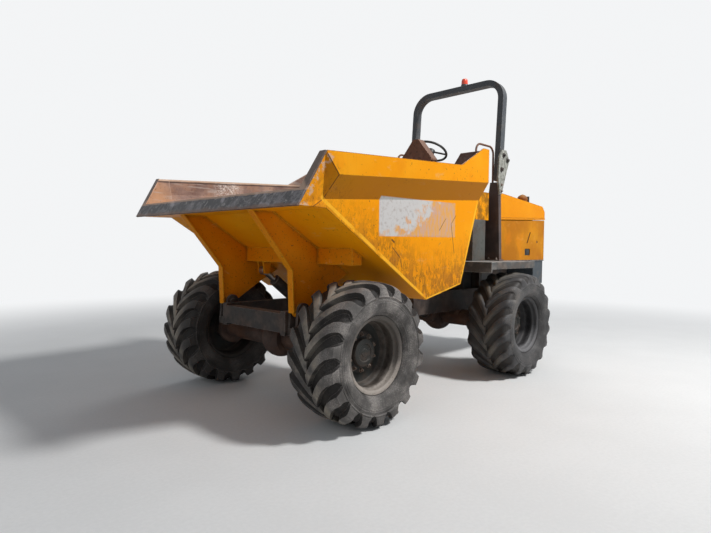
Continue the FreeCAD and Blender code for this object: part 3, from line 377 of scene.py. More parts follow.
# %% Yellow paint
PAINT = (0.87, 0.315, 0.002)
PALE_PAINT = (0.9, 0.41, 0.016)
RUST = (0.15, 0.055, 0.02)
STAIN = (0.17, 0.072, 0.01)
# a painted highlight, laid along edges where light would catch them
PAINTED_HIGHLIGHT = (0.98, 0.5, 0.03)
# grime, also laid as painted shade in corners and under things
GRIME_AND_SHADE = (0.085, 0.04, 0.012)


def paint_fields(field, worn, fresh):
    """Colour, roughness and height of worn yellow paint, worn being 0 to 1, with painted highlights on its
    edges and painted shade in its corners.
    """
    place = place_of(field)
    clouds = noise(place, 1.7, 4.0)
    grit = noise(place, 60.0, 4.0)
    orange = ease(noise(place, 3.3, 5.0, 0.6, 0.8), 0.5, 0.68)
    scuffs = ease(noise(place, (5.0, 5.0, 9.0), 6.0, 0.7, 0.6), 0.6, 0.68) * (0.5 * worn)
    streaks = noise(place, (26.0, 26.0, 1.4), 4.0)
    dirty = ease(streaks, 0.55, 0.8) * ease(clouds, 0.38, 0.68) * (0.3 * worn)
    freckles = ease(noise(place, 36.0, 6.0, 0.7), 0.61, 0.66)
    freckles = freckles * ease(noise(place, 3.5, 4.0), 0.42, 0.56) * (0.9 * worn)
    edge = edges(field, 0.01)
    chipped = ease(edge * 0.42 + noise(place, 22.0, 5.0) * 0.62 + clouds * 0.25, 0.74 - 0.1 * worn, 0.82)
    chipped = chipped * ease(edge + ease(grit, 0.6, 0.75) * 0.3, 0.1, 0.5)
    colour = coated(
        fresh,
        (ease(clouds, 0.42, 0.75) * 0.45, PALE_PAINT),
        (orange * 0.35, (0.78, 0.235, 0.002)),
        (scuffs, (0.8, 0.4, 0.12)),
        (dirty, (0.52, 0.185, 0.008)),
        (freckles, RUST),
        # painted highlight along every edge
        (edge * 0.7, PAINTED_HIGHLIGHT),
        (chipped, RUST),
        # grime and painted shade in corners and under things
        (shaded_hollows(field, 0.05) * 0.65, GRIME_AND_SHADE),
    )
    rough = 0.4 + clouds * 0.14 + dirty * 0.5 + chipped * 0.3
    height = grit * 0.15 - chipped * 0.8 + noise(place, 7.0, 2.0) * 0.6
    return colour, rough, height


def finish_paint(name, worn, extra=None, fresh=PAINT):
    """Worn yellow paint, with one more function for the wear, painted shade and painted highlights that only
    some pieces have.
    """
    material, shader, field = start_finish(name, 0.08)
    colour, rough, height = paint_fields(field, worn, fresh)
    if extra:
        colour, rough, height = extra(field, colour, rough, height)
    link_up(shader, base_color=colour, roughness=rough, normal=bumped(height, 0.25, 0.002, 0.007))
    return material


dress(finish_paint("body_paint", 0.35, fresh=(0.77, 0.265, 0.002)), "hood_cover")
# the side panels and grille get a darker copy of the yellow, which is painted shade
dress(finish_paint("shaded_panel_paint", 0.35, fresh=(0.44, 0.15, 0.002)), "engine_side_panels", "rear_grille")

# %% [markdown]
# The ribs and the beam under the skip are dull with dirt, and their darker yellow is painted shade. Their
# edges carry painted highlights, lines of brighter paint that draw their shape in the shade.

# %% Yellow paint under the skip


def lit_edges(field, colour, rough, height):
    """Painted highlights along the edges, between specks of mud."""
    place = place_of(field)
    specks = ease(noise(place, 48.0, 5.0, 0.7), 0.6, 0.65)
    # painted highlight along the edges
    rubbed = edges(field, 0.014) * ease(noise(place, 14.0, 5.0, 0.65), 0.3, 0.55)
    return coated(colour, (specks * 0.7, GRIME_AND_SHADE), (rubbed * 0.65, PAINTED_HIGHLIGHT)), rough, height


# the darker fresh yellow under the skip is painted shade
shaded_under_skip_paint = finish_paint("shaded_under_skip_paint", 0.9, lit_edges, (0.7, 0.225, 0.002))
dress(shaded_under_skip_paint, "skip_ribs", "skip_cross_beam")

# %% [markdown]
# The skip has the hardest life. Inside, the load has scraped it bare: which face lies inside is found from
# its normal, which points to the middle of the load. Outside, the low rear of each side is stained where mud
# is thrown at it, the mouth's rim is knocked back to primer, and on the left the remains of a plain white
# panel cover the middle. Faces that lean downwards get painted shade. Single scratches, dark lines of
# painted shade along the folds and painted highlights along the lower edges are drawn as distances to short
# lines.

# %% Places on the skip
MOUTH_TIP = (FRONT + 0.823, 1.66)
MOUTH_LEAN = (-0.867, -0.498)
# x and z of the lowest point of the side, and how its lower edge rises ahead of it and behind
KEEL = (FRONT - 0.68, 0.945)
KEEL_SLOPES = (0.606, -0.211)
LOAD_MIDDLE = (FRONT - 0.3, 0.0, 1.95)
# the rim falls towards the front by so much in a metre, and its height is given where x is 0
RIM_SLOPE = 0.058
RIM_HEIGHT = 2.038 + RIM_SLOPE * (FRONT + 0.606)
PANEL_SLOPE = -0.012
# x from the front axle and z of both ends, half width, all in metres
scratches = [
    ((-1.12, 1.69), (-1.045, 1.61), 0.0035), ((-1.045, 1.61), (-1.1, 1.345), 0.0045),
    ((-0.96, 1.655), (-0.86, 1.545), 0.0035), ((-0.21, 1.455), (-0.25, 1.43), 0.01),
    ((-0.33, 1.3), (-0.34, 1.23), 0.006), ((-0.22, 1.395), (-0.32, 1.31), 0.005),
]
# dark lines of painted shade along the folds
shaded_folds = [
    ((0.585, 2.014), (0.477, 1.887), 0.0045), ((0.477, 1.887), (0.531, 1.721), 0.004),
    ((0.531, 1.721), (0.69, 1.64), 0.004),
]
# painted highlights along the lower edges of the side
highlight_lines = [((0.56, 1.738), (-0.68, 0.953), 0.017), ((-0.68, 0.95), (-1.216, 1.063), 0.01),
                ((-1.216, 1.063), (-1.49, 1.85), 0.016)]


def behind_mouth(x, z):
    """How far a place lies behind the plane of the skip's mouth."""
    return (x - MOUTH_TIP[0]) * MOUTH_LEAN[0] + (z - MOUTH_TIP[1]) * MOUTH_LEAN[1]


def near_line(x, z, start, end, half):
    """1 within a thin line from start to end."""
    run, rise = end[0] - start[0], end[1] - start[1]
    length = math.hypot(run, rise)
    run, rise = run / length, rise / length
    from_x, from_z = x - (FRONT + start[0]), z - start[1]
    along = from_x * run + from_z * rise
    across = abs(from_x * rise - from_z * run)
    return fade(across, half * 0.6, half) * between(along, 0.0, length, 0.01)


# %% Bare steel inside the skip


def scraped_steel(place, x, z):
    """Bare steel that a load slides over: pinkish tan, rusty in blotches, pale where it is scored."""
    ahead = ease(x - (z - 1.8) * 0.8, FRONT + 0.28, FRONT + 0.56)
    rusty = ease(noise(place, 6.5, 5.0, 0.65), 0.42, 0.6) * (1 - ahead) * 0.25 + ahead * 0.75
    scrapes = ease(noise(place, (3.0, 12.0, 30.0), 7.0, 0.65, 0.5), 0.55, 0.63)
    scored = between(x, FRONT - 0.34, FRONT - 0.06, 0.07) * ease(z, 1.86, 1.96)
    scored = scored * ease(noise(place, (42.0, 42.0, 70.0), 4.0, 0.7, 1.0), 0.5, 0.55)
    under_rim = RIM_HEIGHT - (z + x * RIM_SLOPE) + noise(place, 9.0) * 0.006
    return coated(
        (0.25, 0.15, 0.12),
        (ease(noise(place, 3.2, 6.0, 0.62), 0.38, 0.62), (0.44, 0.29, 0.235)),
        (rusty, (0.66, 0.34, 0.17)),
        (scrapes * 0.5, (0.6, 0.5, 0.44)),
        (scored, (0.85, 0.74, 0.66)),
        (ease(noise(place, 42.0, 6.0, 0.7), 0.57, 0.63) * 0.6, (0.13, 0.085, 0.075)),
        (between(under_rim, 0.003, 0.018, 0.003) * 0.85, (0.8, 0.58, 0.42)),
        (between(under_rim, 0.023, 0.036, 0.003) * 0.8, (0.06, 0.04, 0.035)),
        (fade(x, FRONT - 1.25, FRONT - 1.0) * 0.55, (0.075, 0.048, 0.04)),
        (fade(z, 1.15, 1.75) * 0.75, (0.105, 0.08, 0.068)),
    )


def inside_mask(field, place):
    """1 on the faces that look towards the middle of the load."""
    return ease(dot(facing_of(field), place.vectors("SUBTRACT", LOAD_MIDDLE, place)), 0.0, 0.02)


# %% Wear of the skip's two sides


def stained(place, x, z, blotches, side_on, colour):
    """Mud stains low on the sides, darker towards the rear, and chips behind the mouth."""
    from_keel = x - KEEL[0]
    above_keel = (z - KEEL[1]) - larger(from_keel * KEEL_SLOPES[0], from_keel * KEEL_SLOPES[1])
    rear = fade(x, FRONT - 0.35, FRONT + 0.35)
    low = fade(above_keel + blotches * 0.4, 0.22, 0.56 + rear * 0.14) * side_on
    runs = ease(noise(place, (26.0, 26.0, 9.0), 6.0, 0.65, 1.2), 0.47, 0.58)
    fine = ease(noise(place, (70.0, 70.0, 22.0), 6.0, 0.7, 1.5), 0.58, 0.63)
    worn_rim = fade(behind_mouth(x, z) + noise(place, 11.0, 5.0) * 0.12, 0.135, 0.155)
    chips = ease(noise(place, (20.0, 20.0, 34.0), 4.0), 0.5, 0.58)
    return coated(
        colour,
        (low * (runs * 0.5 + 0.16) * (rear * 0.7 + 0.3), STAIN),
        (low * ease(blotches, 0.5, 0.58) * (rear * 0.35 + 0.4), (0.36, 0.125, 0.012)),
        (low * fine * 0.85, (0.06, 0.026, 0.01)),
        (worn_rim * side_on * (chips * 0.75), (0.58, 0.42, 0.3)),
    )


def white_panel(place, x, y, z, blotches):
    """Where the panel on the left side lies, and its colour, white only where it isn't worn off."""
    mask = between(x, FRONT - 1.105, FRONT - 0.06, 0.006)
    mask = mask * between(z - x * PANEL_SLOPE, 1.497, 1.806, 0.005) * ease(y, 1.1, 1.11)
    gone = ease(blotches * 0.9 + (FRONT - 0.42 - x) * 0.55 + (1.64 - z) * 0.9, 0.52, 0.6)
    lost = ease(blotches + (1.56 - z) * 3.0, 0.62, 0.8)
    dulled = ease(noise(place, 24.0, 6.0, 0.7), 0.5, 0.66) * 0.6
    sheet = paint_over(dulled, (0.56, 0.545, 0.53), (0.36, 0.3, 0.27))
    fibres = ease(noise(place, (40.0, 9.0, 12.0), 4.0), 0.42, 0.62)
    left = paint_over(fibres, (0.7, 0.36, 0.11), (0.58, 0.36, 0.27))
    return mask, paint_over(larger(gone, lost), sheet, left)


def lined(place, x, y, z, side_on, colour):
    """Painted shade along the folds, painted highlights along the lower edges, and single scratches."""
    for crease in shaded_folds:
        line = near_line(x, z, *crease) * ease(noise(place, 13.0), 0.3, 0.45)
        # painted shade in the fold
        colour = paint_over(line * side_on * 0.85, colour, (0.045, 0.022, 0.012))
    for edge in highlight_lines:
        line = near_line(x, z, *edge) * ease(noise(place, 8.0, 5.0), 0.28, 0.5)
        # painted highlight along the edge
        colour = paint_over(line * side_on * 0.8, colour, PAINTED_HIGHLIGHT)
    left_side = ease(y, 0.9, 0.91) * side_on * 0.85
    for scratch in scratches:
        colour = paint_over(near_line(x, z, *scratch) * left_side, colour, (0.06, 0.03, 0.016))
    return colour


def skip_wear(field, colour, rough, height):
    """Painted shade on faces that lean down, stains, panel and lines on the outside, and bare steel inside.
    """
    place = place_of(field)
    x, y, z = axes(place)
    across, upward = axes(facing_of(field))[1:]
    side_on = ease(abs(across), 0.55, 0.7)
    # painted shade on the faces that lean downwards, such as the one under the band
    faces_down_shade = ease(upward * -1.0, 0.2, 0.45) * ease(abs(across), 0.45, 0.6)
    blotches = noise(place, 5.5, 6.0, 0.65)
    colour = paint_over(faces_down_shade * 0.75, colour, (0.4, 0.145, 0.002))
    colour = stained(place, x, z, blotches, side_on, colour)
    panel, sheet = white_panel(place, x, y, z, blotches)
    colour = paint_over(panel * side_on, colour, sheet)
    colour = lined(place, x, y, z, side_on, colour)
    bare = paint_over(edges(field, 0.012) * 0.8, scraped_steel(place, x, z), (0.72, 0.5, 0.38))
    inside = inside_mask(field, place)
    height = height + inside * noise(place, 34.0, 5.0) * 2.2
    return paint_over(inside, colour, bare), inside * 0.1 + rough, height


dress(finish_paint("skip_paint_wear_and_shade", 0.9, skip_wear), "skip_tub")
print("single scratches on the side:", len(scratches))

# %% [markdown]
# The strip of thick steel round the mouth was never kept painted. Its front is dark and slate-blue with
# polished dents, its cheeks are brown-black, and the face that the load slides over is as bare as the tub. A
# painted highlight runs along its top edge.

# %% Steel of the mouth's rim


def rim_steel():
    material, shader, field = start_finish("mouth_rim_steel")
    place = place_of(field)
    x, y, z = axes(place)
    dents = noise(place, (9.0, 8.0, 6.0), 7.0, 0.7, 0.8)
    pits = noise(place, 17.0, 7.0, 0.8, 0.6)
    polished = ease(noise(place, (4.0, 5.0, 4.0), 3.0), 0.58, 0.64)
    foot = fade(z + noise(place, 15.0, 5.0) * 0.06, 1.7, 1.722)
    # painted highlight along the strip's top edge
    top = ease(z + noise(place, 16.0) * 0.02, 1.768, 1.776)
    cheek = ease(z + abs(y) * 0.9, 2.84, 2.88)
    rubbed = edges(field, 0.006, 0.02, 0.15) * ease(noise(place, 25.0), 0.35, 0.55)
    slate = coated(
        (0.018, 0.019, 0.023),
        (ease(dents, 0.44, 0.6), (0.15, 0.142, 0.152)),
        (ease(pits, 0.53, 0.58) * 0.85, (0.013, 0.012, 0.014)),
        (fade(pits, 0.4, 0.45), (0.25, 0.23, 0.225)),
        (polished * ease(dents, 0.35, 0.5) * 0.8, (0.245, 0.225, 0.245)),
        (foot * 0.85, (0.12, 0.06, 0.036)),
        # painted highlight on the top edge
        (top * 0.8, (0.5, 0.32, 0.22)),
        (cheek * 0.85, (0.042, 0.027, 0.024)),
        (rubbed * 0.75, (0.46, 0.32, 0.26)),
    )
    inside = inside_mask(field, place)
    colour = paint_over(inside, slate, scraped_steel(place, x, z))
    link_up(shader, base_color=colour, roughness=0.55 - polished * 0.15,
            metallic=polished * (1 - inside) * 0.3,
            normal=bumped(dents * 1.2 + pits * 0.8, 0.5, 0.003, 0.004))
    return material


dress(rim_steel(), "skip_mouth_edge")

# %% [markdown]
# Dark frame paint, light grey paint and rusty castings differ in colour and in how far dust and rust have
# spread, but not in kind. One recipe with those as its values makes them all.

# %% Steel, castings and grey paint


def metal(name, base, rust, dust, rust_share, dust_share, rough, edge_colour=None, metallic=0.0):
    """Painted or bare metal with rust in clouds and spots, dust on top, painted shade in its corners and, if
    asked for, bare edges.
    """
    material, shader, field = start_finish(name, 0.35)
    place = place_of(field)
    clouds = noise(place, 4.5, 5.0)
    grit = noise(place, 70.0, 4.0)
    rusted = ease(clouds, 0.62 - 0.35 * rust_share, 0.78 - 0.25 * rust_share)
    spots = ease(noise(place, 27.0, 6.0, 0.7), 0.54, 0.62) * rust_share
    settled = ease(axes(facing_of(field))[2] + grit * 0.5, 0.55, 1.15) * dust_share
    settled = settled + ease(noise(place, 9.0, 4.0), 0.45, 0.72) * (dust_share * 0.6)
    colour = coated(base, (rusted, rust), (spots * 0.8, toned(base, 0.4)), (settled, dust))
    if edge_colour:
        chipped = edges(field, 0.008) * ease(noise(place, 18.0, 3.0), 0.35, 0.55)
        colour = paint_over(chipped * 0.8, colour, edge_colour)
    # painted shade, with dirt, in corners and under things
    colour = paint_over(shaded_hollows(field, 0.04) * 0.5, colour, toned(rust, 0.35))
    link_up(shader, base_color=colour, roughness=rough + clouds * 0.2 + settled * 0.25,
            metallic=metallic, normal=bumped(grit * 0.6 + clouds, 0.3, 0.002, 0.005))
    return material


# name: base, rust, dust, rust share, dust share, roughness, edge colour, metallic
metals = {
    "frame_paint": ((0.03, 0.026, 0.024), (0.052, 0.034, 0.027), (0.17, 0.145, 0.125), 0.6, 0.45, 0.62,
                    (0.24, 0.21, 0.19)),
    "grey_paint": ((0.066, 0.068, 0.067), (0.1, 0.07, 0.052), (0.34, 0.325, 0.3), 0.3, 0.5, 0.45,
                   (0.45, 0.44, 0.42)),
    "stand_paint": ((0.095, 0.098, 0.09), (0.075, 0.055, 0.042), (0.19, 0.185, 0.165), 0.7, 0.55, 0.55,
                    (0.3, 0.3, 0.29)),
    "hoop_paint": ((0.052, 0.058, 0.066), (0.06, 0.045, 0.04), (0.22, 0.215, 0.205), 0.25, 0.3, 0.42,
                   (0.34, 0.335, 0.32)),
    "slate_paint": ((0.05, 0.062, 0.072), (0.085, 0.07, 0.06), (0.2, 0.2, 0.185), 0.2, 0.3, 0.5,
                    (0.2, 0.21, 0.21)),
    "rusty_casting": ((0.058, 0.036, 0.028), (0.09, 0.042, 0.024), (0.22, 0.17, 0.14), 0.6, 0.4, 0.65),
    "brown_sheet": ((0.085, 0.04, 0.031), (0.16, 0.07, 0.04), (0.27, 0.18, 0.14), 1.0, 0.6, 0.55,
                    (0.34, 0.22, 0.17)),
    "orange_sheet": ((0.42, 0.16, 0.022), (0.2, 0.075, 0.022), (0.4, 0.24, 0.12), 0.6, 0.4, 0.55),
    "engine_grey": ((0.075, 0.075, 0.075), (0.09, 0.06, 0.045), (0.2, 0.18, 0.16), 0.4, 0.5, 0.6),
    "rod_steel": ((0.38, 0.38, 0.39), (0.3, 0.24, 0.19), (0.3, 0.27, 0.24), 0.2, 0.3, 0.25, None, 1.0),
    "bolt_steel": ((0.13, 0.095, 0.075), (0.17, 0.075, 0.035), (0.3, 0.25, 0.21), 0.5, 0.4, 0.45,
                   (0.4, 0.35, 0.31), 0.6),
}
finish = {name: metal(name, *values) for name, values in metals.items()}
users = {
    "frame_paint": "front_frame front_drive_shaft tip_ram_barrel_left tip_ram_barrel_right steer_ram_barrel "
                   "rear_frame rear_drive_shaft tow_hitch seat_base exhaust_stub",
    "grey_paint": "deck fenders",
    "stand_paint": "console_stands",
    "slate_paint": "rear_bumper",
    "hoop_paint": "rops_hoop",
    "rusty_casting": "front_axle rear_axle",
    "brown_sheet": "dash_tower grab_rails",
    "orange_sheet": "pre_cleaner",
    "engine_grey": "engine_block gearbox",
    "rod_steel": "tip_ram_rod_left tip_ram_rod_right steer_ram_rod",
}
for name, names in users.items():
    dress(finish[name], *names.split())
print("metal finishes:", len(finish))

# %% [markdown]
# Two nodes change finish along their height. The posts are brown-grey below and carry a plate, higher up,
# whose pale grey paint is mottled and flaking. The consoles are yellow, dirty at the foot and dark where
# sleeves and boots have rubbed them.

# %% Posts and consoles


def post_finish():
    material, shader, field = start_finish("post_paint", 0.35)
    place = place_of(field)
    y, z = axes(place)[1:]
    clouds = noise(place, 5.0, 5.0)
    flakes = noise(place, 26.0, 6.0, 0.7)
    brown = coated(
        (0.06, 0.045, 0.043),
        (ease(clouds, 0.4, 0.7), (0.105, 0.08, 0.07)),
        (edges(field, 0.006) * 0.6, (0.3, 0.27, 0.24)),
        (fade(z + clouds * 0.2, 1.32, 1.48) * 0.5, (0.13, 0.055, 0.03)),
    )
    mottled = coated(
        (0.19, 0.19, 0.165),
        (ease(flakes, 0.42, 0.6), (0.36, 0.36, 0.32)),
        (ease(noise(place, 34.0, 5.0), 0.62, 0.67) * 0.8, (0.06, 0.05, 0.042)),
    )
    plate = ease(abs(y), 0.671, 0.6715) * ease(z, 2.03, 2.035)
    link_up(shader, base_color=paint_over(plate, brown, mottled), roughness=0.5 + clouds * 0.2,
            normal=bumped(flakes * 0.7 + clouds, 0.35, 0.002, 0.005))
    return material


def console_wear(field, colour, rough, height):
    place = place_of(field)
    z = axes(place)[2]
    rubbed = ease(noise(place, 6.0, 6.0, 0.65) + ease(z, 1.8, 2.05) * 0.08, 0.42, 0.58)
    return paint_over(rubbed * 0.8, colour, (0.165, 0.078, 0.012)), rough, height


dress(post_finish(), "rops_posts")
dress(finish_paint("console_paint", 0.8, console_wear), "side_consoles")

# %% [markdown]
# Rubber and plastic are dark, hardly shiny and dusty on top. The beacon's lens is the one bright piece.

# %% Rubber, plastic and vinyl


def dusty_black(name, base, dust, share, rough, grain):
    material, shader, field = start_finish(name)
    place = place_of(field)
    clouds = noise(place, 6.0, 5.0)
    dusted = ease(clouds * 0.7 + axes(facing_of(field))[2] * 0.25, 0.3, 0.75) * share
    pores = noise(place, grain, 3.0)
    colour = paint_over(dusted, base, dust)
    link_up(shader, base_color=colour, roughness=rough + dusted * 0.25, normal=bumped(pores, 0.3, 0.001))
    return material


black_plastic = dusty_black("black_plastic", (0.018, 0.018, 0.018), (0.12, 0.11, 0.1), 0.5, 0.45, 220.0)
seat_vinyl = dusty_black("seat_vinyl", (0.022, 0.021, 0.021), (0.1, 0.09, 0.08), 0.35, 0.42, 300.0)
lens = dusty_black("beacon_lens", (0.8, 0.06, 0.016), (0.5, 0.2, 0.12), 0.25, 0.2, 90.0)
latch_black = dusty_black("latch_black", (0.008, 0.008, 0.008), (0.05, 0.045, 0.04), 0.3, 0.5, 220.0)
dress(black_plastic, "steering_column", "steering_wheel", "control_levers")

# %% [markdown]
# A tyre has two finishes. The carcass is dark between the lugs and paler on its sidewall. A lug is worn pale
# on its top and dark on its flanks, which are told from the top by how far they face the way round the
# wheel. Dust and soil lie on both. The side towards the machine is darkened as painted shade, and so are the
# corners between the lugs.

# %% Rubber of the tyres


def tyre_rubber(name, axle, gap, light, dusty, soil, rough):
    """The finish of the carcass and the finish of the lugs."""
    made = []
    for part in ("carcass", "lugs"):
        material, shader, field = start_finish(name + "_" + part, 0.3)
        place = place_of(field)
        outward = from_hub(place, axle)
        radius = length_of(outward)
        clouds = noise(place, 5.0, 6.0)
        grit = noise(place, 110.0, 5.0, 0.7)
        if part == "carcass":
            pale = fade(radius, 0.444, 0.449) * ease(clouds, 0.25, 0.65)
        else:
            round_way = outward.vectors("CROSS_PRODUCT", outward, (0.0, 1.0, 0.0))
            round_way = outward.vectors("NORMALIZE", round_way)
            flank = abs(dot(round_way, facing_of(field)))
            pale = fade(flank, 0.35, 0.75) * (ease(clouds, 0.3, 0.6) * 0.5 + 0.5)
        out = abs(axes(place)[1])
        tread = fade(abs(out - HALF_TRACK), 0.08, 0.17)
        # painted shade on the side towards the machine
        shaded_inner_side = fade(out, HALF_TRACK - 0.2, HALF_TRACK - 0.02)
        worn = edges(field, 0.005, 0.03, 0.25) * ease(grit, 0.35, 0.55) * ease(radius, 0.43, 0.45)
        colour = coated(
            gap,
            (pale, light),
            (ease(clouds * 0.6 + grit * 0.6, 0.58, 0.76) * (pale * 0.6 + 0.1), dusty),
            (tread * ease(clouds, 0.36, 0.56) * (pale * 0.65 + 0.1), soil),
            (shaded_inner_side * 0.65, toned(gap, 0.8)),
            (worn * 0.85, dusty),
            # painted shade in the corners between the lugs
            (shaded_hollows(field, 0.07) * 0.75, toned(gap, 0.6)),
        )
        height = grit * 0.7 + noise(place, 17.0, 5.0) * 1.4
        link_up(shader, base_color=colour, roughness=rough + clouds * 0.2,
                normal=bumped(height, 0.45, 0.003, 0.003))
        made.append(material)
    return made


# end: name, axle x, colour between the lugs, on their tops and the sidewall, of dust, of soil, roughness
rubbers = {
    "front": tyre_rubber("front_rubber", FRONT, (0.014, 0.012, 0.011), (0.125, 0.116, 0.109),
                         (0.33, 0.3, 0.275), (0.29, 0.255, 0.205), 0.6),
    "rear": tyre_rubber("rear_rubber", REAR, (0.026, 0.023, 0.021), (0.058, 0.057, 0.059),
                        (0.16, 0.145, 0.13), (0.115, 0.098, 0.074), 0.46),
}
print("tyre finishes:", sum(len(pair) for pair in rubbers.values()))

# %% [markdown]
# The round pieces are turned: an outline of distances along and from an axis is swept round it in steps.
# Many steps give a wheel, and six give a nut. Every piece then goes through one function that puts it in
# its place, names its finish and ties it to the body that it rides on.

# %% Turning and placing pieces


def add_turned(mesh, profile, steps, at=(0, 0, 0), axis=(0, 1, 0), lean=0.0):
    """Sweep (along, radius) pairs round an axis through a point; ends on the axis close by themselves."""
    spin = Vector(axis).to_track_quat("Z", "X").to_matrix()
    at = Vector(at)
    rows = []
    for step in range(steps):
        angle = 2 * math.pi * step / steps + lean
        rim = [Vector((r * math.cos(angle), r * math.sin(angle), along)) for along, r in profile]
        rows.append([mesh.verts.new(at + spin @ point) for point in rim])
    for first, second in zip(rows, rows[1:] + rows[:1]):
        for i in range(len(profile) - 1):
            mesh.faces.new((first[i], second[i], second[i + 1], first[i + 1]))
    return rows


def wave(place, length):
    """1 at 0, down to 0 half a length on, and back, over and over."""
    return 0.5 + 0.5 * math.cos(2 * math.pi * place / length)


def make_piece(name, mesh, material, body, place=(0, 0, 0), angle=32):
    """Turn a bmesh into a piece that rides on a body, its place kept in its mesh."""
    bmesh.ops.remove_doubles(mesh, verts=mesh.verts, dist=1e-6)
    bmesh.ops.recalc_face_normals(mesh, faces=mesh.faces)
    mesh.transform(Matrix.Translation(place))
    data = bpy.data.meshes.new(name)
    mesh.to_mesh(data)
    mesh.free()
    made = bpy.data.objects.new(name, data)
    scene.collection.objects.link(made)
    data.materials.append(material)
    data.shade_smooth()
    data.set_sharp_from_angle(angle=math.radians(angle))
    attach(made, body)
    return made


# %% [markdown]
# Each tyre is a tractor tyre: a round carcass with deep lugs that run from the middle of the tread to the
# shoulder, where they spread and turn down the side. A lug is a bar swept along the carcass. Its sections
# are given by how far round and how far along the profile they lie, so one function makes every lug.

# %% Carcass profile
# across, radius: from the middle of the tread, over the shoulder and down the side to the bead
CARCASS = [(0.0, 0.523), (0.08, 0.522), (0.15, 0.518), (0.19, 0.511), (0.207, 0.503), (0.222, 0.486),
           (0.2335, 0.464), (0.236, 0.452), (0.245, 0.4475), (0.2478, 0.436), (0.2482, 0.42), (0.247, 0.4),
           (0.243, 0.375), (0.2365, 0.352), (0.226, 0.333), (0.212, 0.318), (0.202, 0.31),
           (0.1895, 0.3068), (0.1872, 0.2868)]


def path_table(points, step):
    """Places along a polyline at an even step, smoothed, with the outward normal of each."""
    points = np.array(points, float)
    run = np.concatenate([[0], np.cumsum(np.hypot(*np.diff(points, axis=0).T))])
    along = np.arange(0, run[-1], step)
    line = np.stack([np.interp(along, run, points[:, i]) for i in (0, 1)], axis=1)
    for _ in range(2):
        line[1:-1] = (line[:-2] + 2 * line[1:-1] + line[2:]) / 4
    ahead = np.gradient(line, axis=0)
    ahead /= np.hypot(*ahead.T)[:, None]
    return along, line, np.stack([-ahead[:, 1], ahead[:, 0]], axis=1)


ALONG, LINE, OUT = path_table(CARCASS, 0.0025)
print("carcass profile:", len(ALONG), "points over", round(float(ALONG[-1]), 3), "m")

# %% [markdown]
# On the front tyres the lugs are deep, and on the rear ones work has worn them low and round, so the tread
# between them lies nearer to their tops. From the shoulder a lug widens until, at a ring on the sidewall,
# it fills the whole pitch and is level with it.

# %% Lugs
LUGS = 18
PITCH = math.radians(360 / LUGS)
HALF_LUG = math.radians(4.5)
LUG_SWEEP = math.radians(25)
FIRST_LUG = math.radians(154.3)
# along the profile: where the shoulder starts, where a lug stops sweeping, where it ends
SHOULDER = 0.226
SWEPT = 0.245
FOOT = 0.281
CENTRE_OVERLAP = 0.012
LUG_STEPS = 24
# section of a lug: share of its half width, share of its height
LUG_SECTION = [(-1.36, -0.15), (-1.16, 0.1), (-1.0, 0.93), (-0.95, 1.0), (-0.5, 1.0), (0.0, 1.0),
               (0.5, 1.0), (0.95, 1.0), (1.0, 0.93), (1.16, 0.1), (1.36, -0.15)]


def filled_up(radius, fill):
    """What a filled tread adds to a radius: all of it from 0.49 m up, nothing below 0.44 m."""
    return fill * min(max((radius - 0.44) / 0.05, 0.0), 1.0)


def on_carcass(turn, along, height, side, fill):
    """Point of the tyre, centred on its hub, so far round, so far along the profile and so high above."""
    mirror = -side if along < 0 else side
    reach = abs(along)
    across = np.interp(reach, ALONG, LINE[:, 0])
    radius = np.interp(reach, ALONG, LINE[:, 1])
    radius += filled_up(radius, fill) + height * np.interp(reach, ALONG, OUT[:, 1])
    across += height * np.interp(reach, ALONG, OUT[:, 0])
    return Vector((radius * math.sin(turn), mirror * across, radius * math.cos(turn)))


def lug_rows(start, side, height, fill, roundness):
    """Sections of one lug from the middle of the tread to its foot on the sidewall."""
    rows = []
    for step in range(LUG_STEPS + 1):
        along = -CENTRE_OVERLAP + (FOOT + CENTRE_OVERLAP) * step / LUG_STEPS
        share = min(max(along / SWEPT, 0.0), 1.0)
        turn = start + LUG_SWEEP * (1 - share) ** 1.55
        tall = height * (1.0 - 0.02 * share)
        half = HALF_LUG
        if along < 0.004:
            tall *= 0.8 if step == 0 else 0.97
        if along > SHOULDER:
            down = (along - SHOULDER) / (FOOT - SHOULDER)
            tall = height * (0.74 - 0.42 * down)
            half = HALF_LUG * (1 + 0.8 * down ** 1.2)
        section = []
        for offset, level in LUG_SECTION:
            level = level if abs(offset) > 1.05 else level * (1 - roundness * abs(offset) ** 3)
            wide = half * offset if abs(offset) < 1.2 else half * offset * (1 + 0.1 * tall / height)
            section.append(on_carcass(turn + wide, along, tall * level, side, fill))
        rows.append(section)
    return rows


def add_strip(mesh, rows):
    """Skin a row of open sections and close both ends, in the piece's second material."""
    rows = [[mesh.verts.new(point) for point in section] for section in rows]
    made = [mesh.faces.new(rows[0]), mesh.faces.new(list(reversed(rows[-1])))]
    for first, second in zip(rows, rows[1:]):
        for i in range(len(first) - 1):
            made.append(mesh.faces.new((first[i], first[i + 1], second[i + 1], second[i])))
    for face in made:
        face.material_index = 1


# %% Tyres
RING_HEIGHT = 0.002
RING_PITCH = 0.0175


def ringed_profile(fill):
    """The carcass with fine raised rings moulded on its sidewall."""
    ringed = []
    for y, r in LINE:
        ring = RING_HEIGHT * wave(r - 0.302, RING_PITCH) ** 4
        ring = ring if 0.32 < r < 0.345 or 0.405 < r < 0.44 else 0.0
        ringed.append((float(y) + ring, float(r) + filled_up(float(r), fill)))
    return ringed


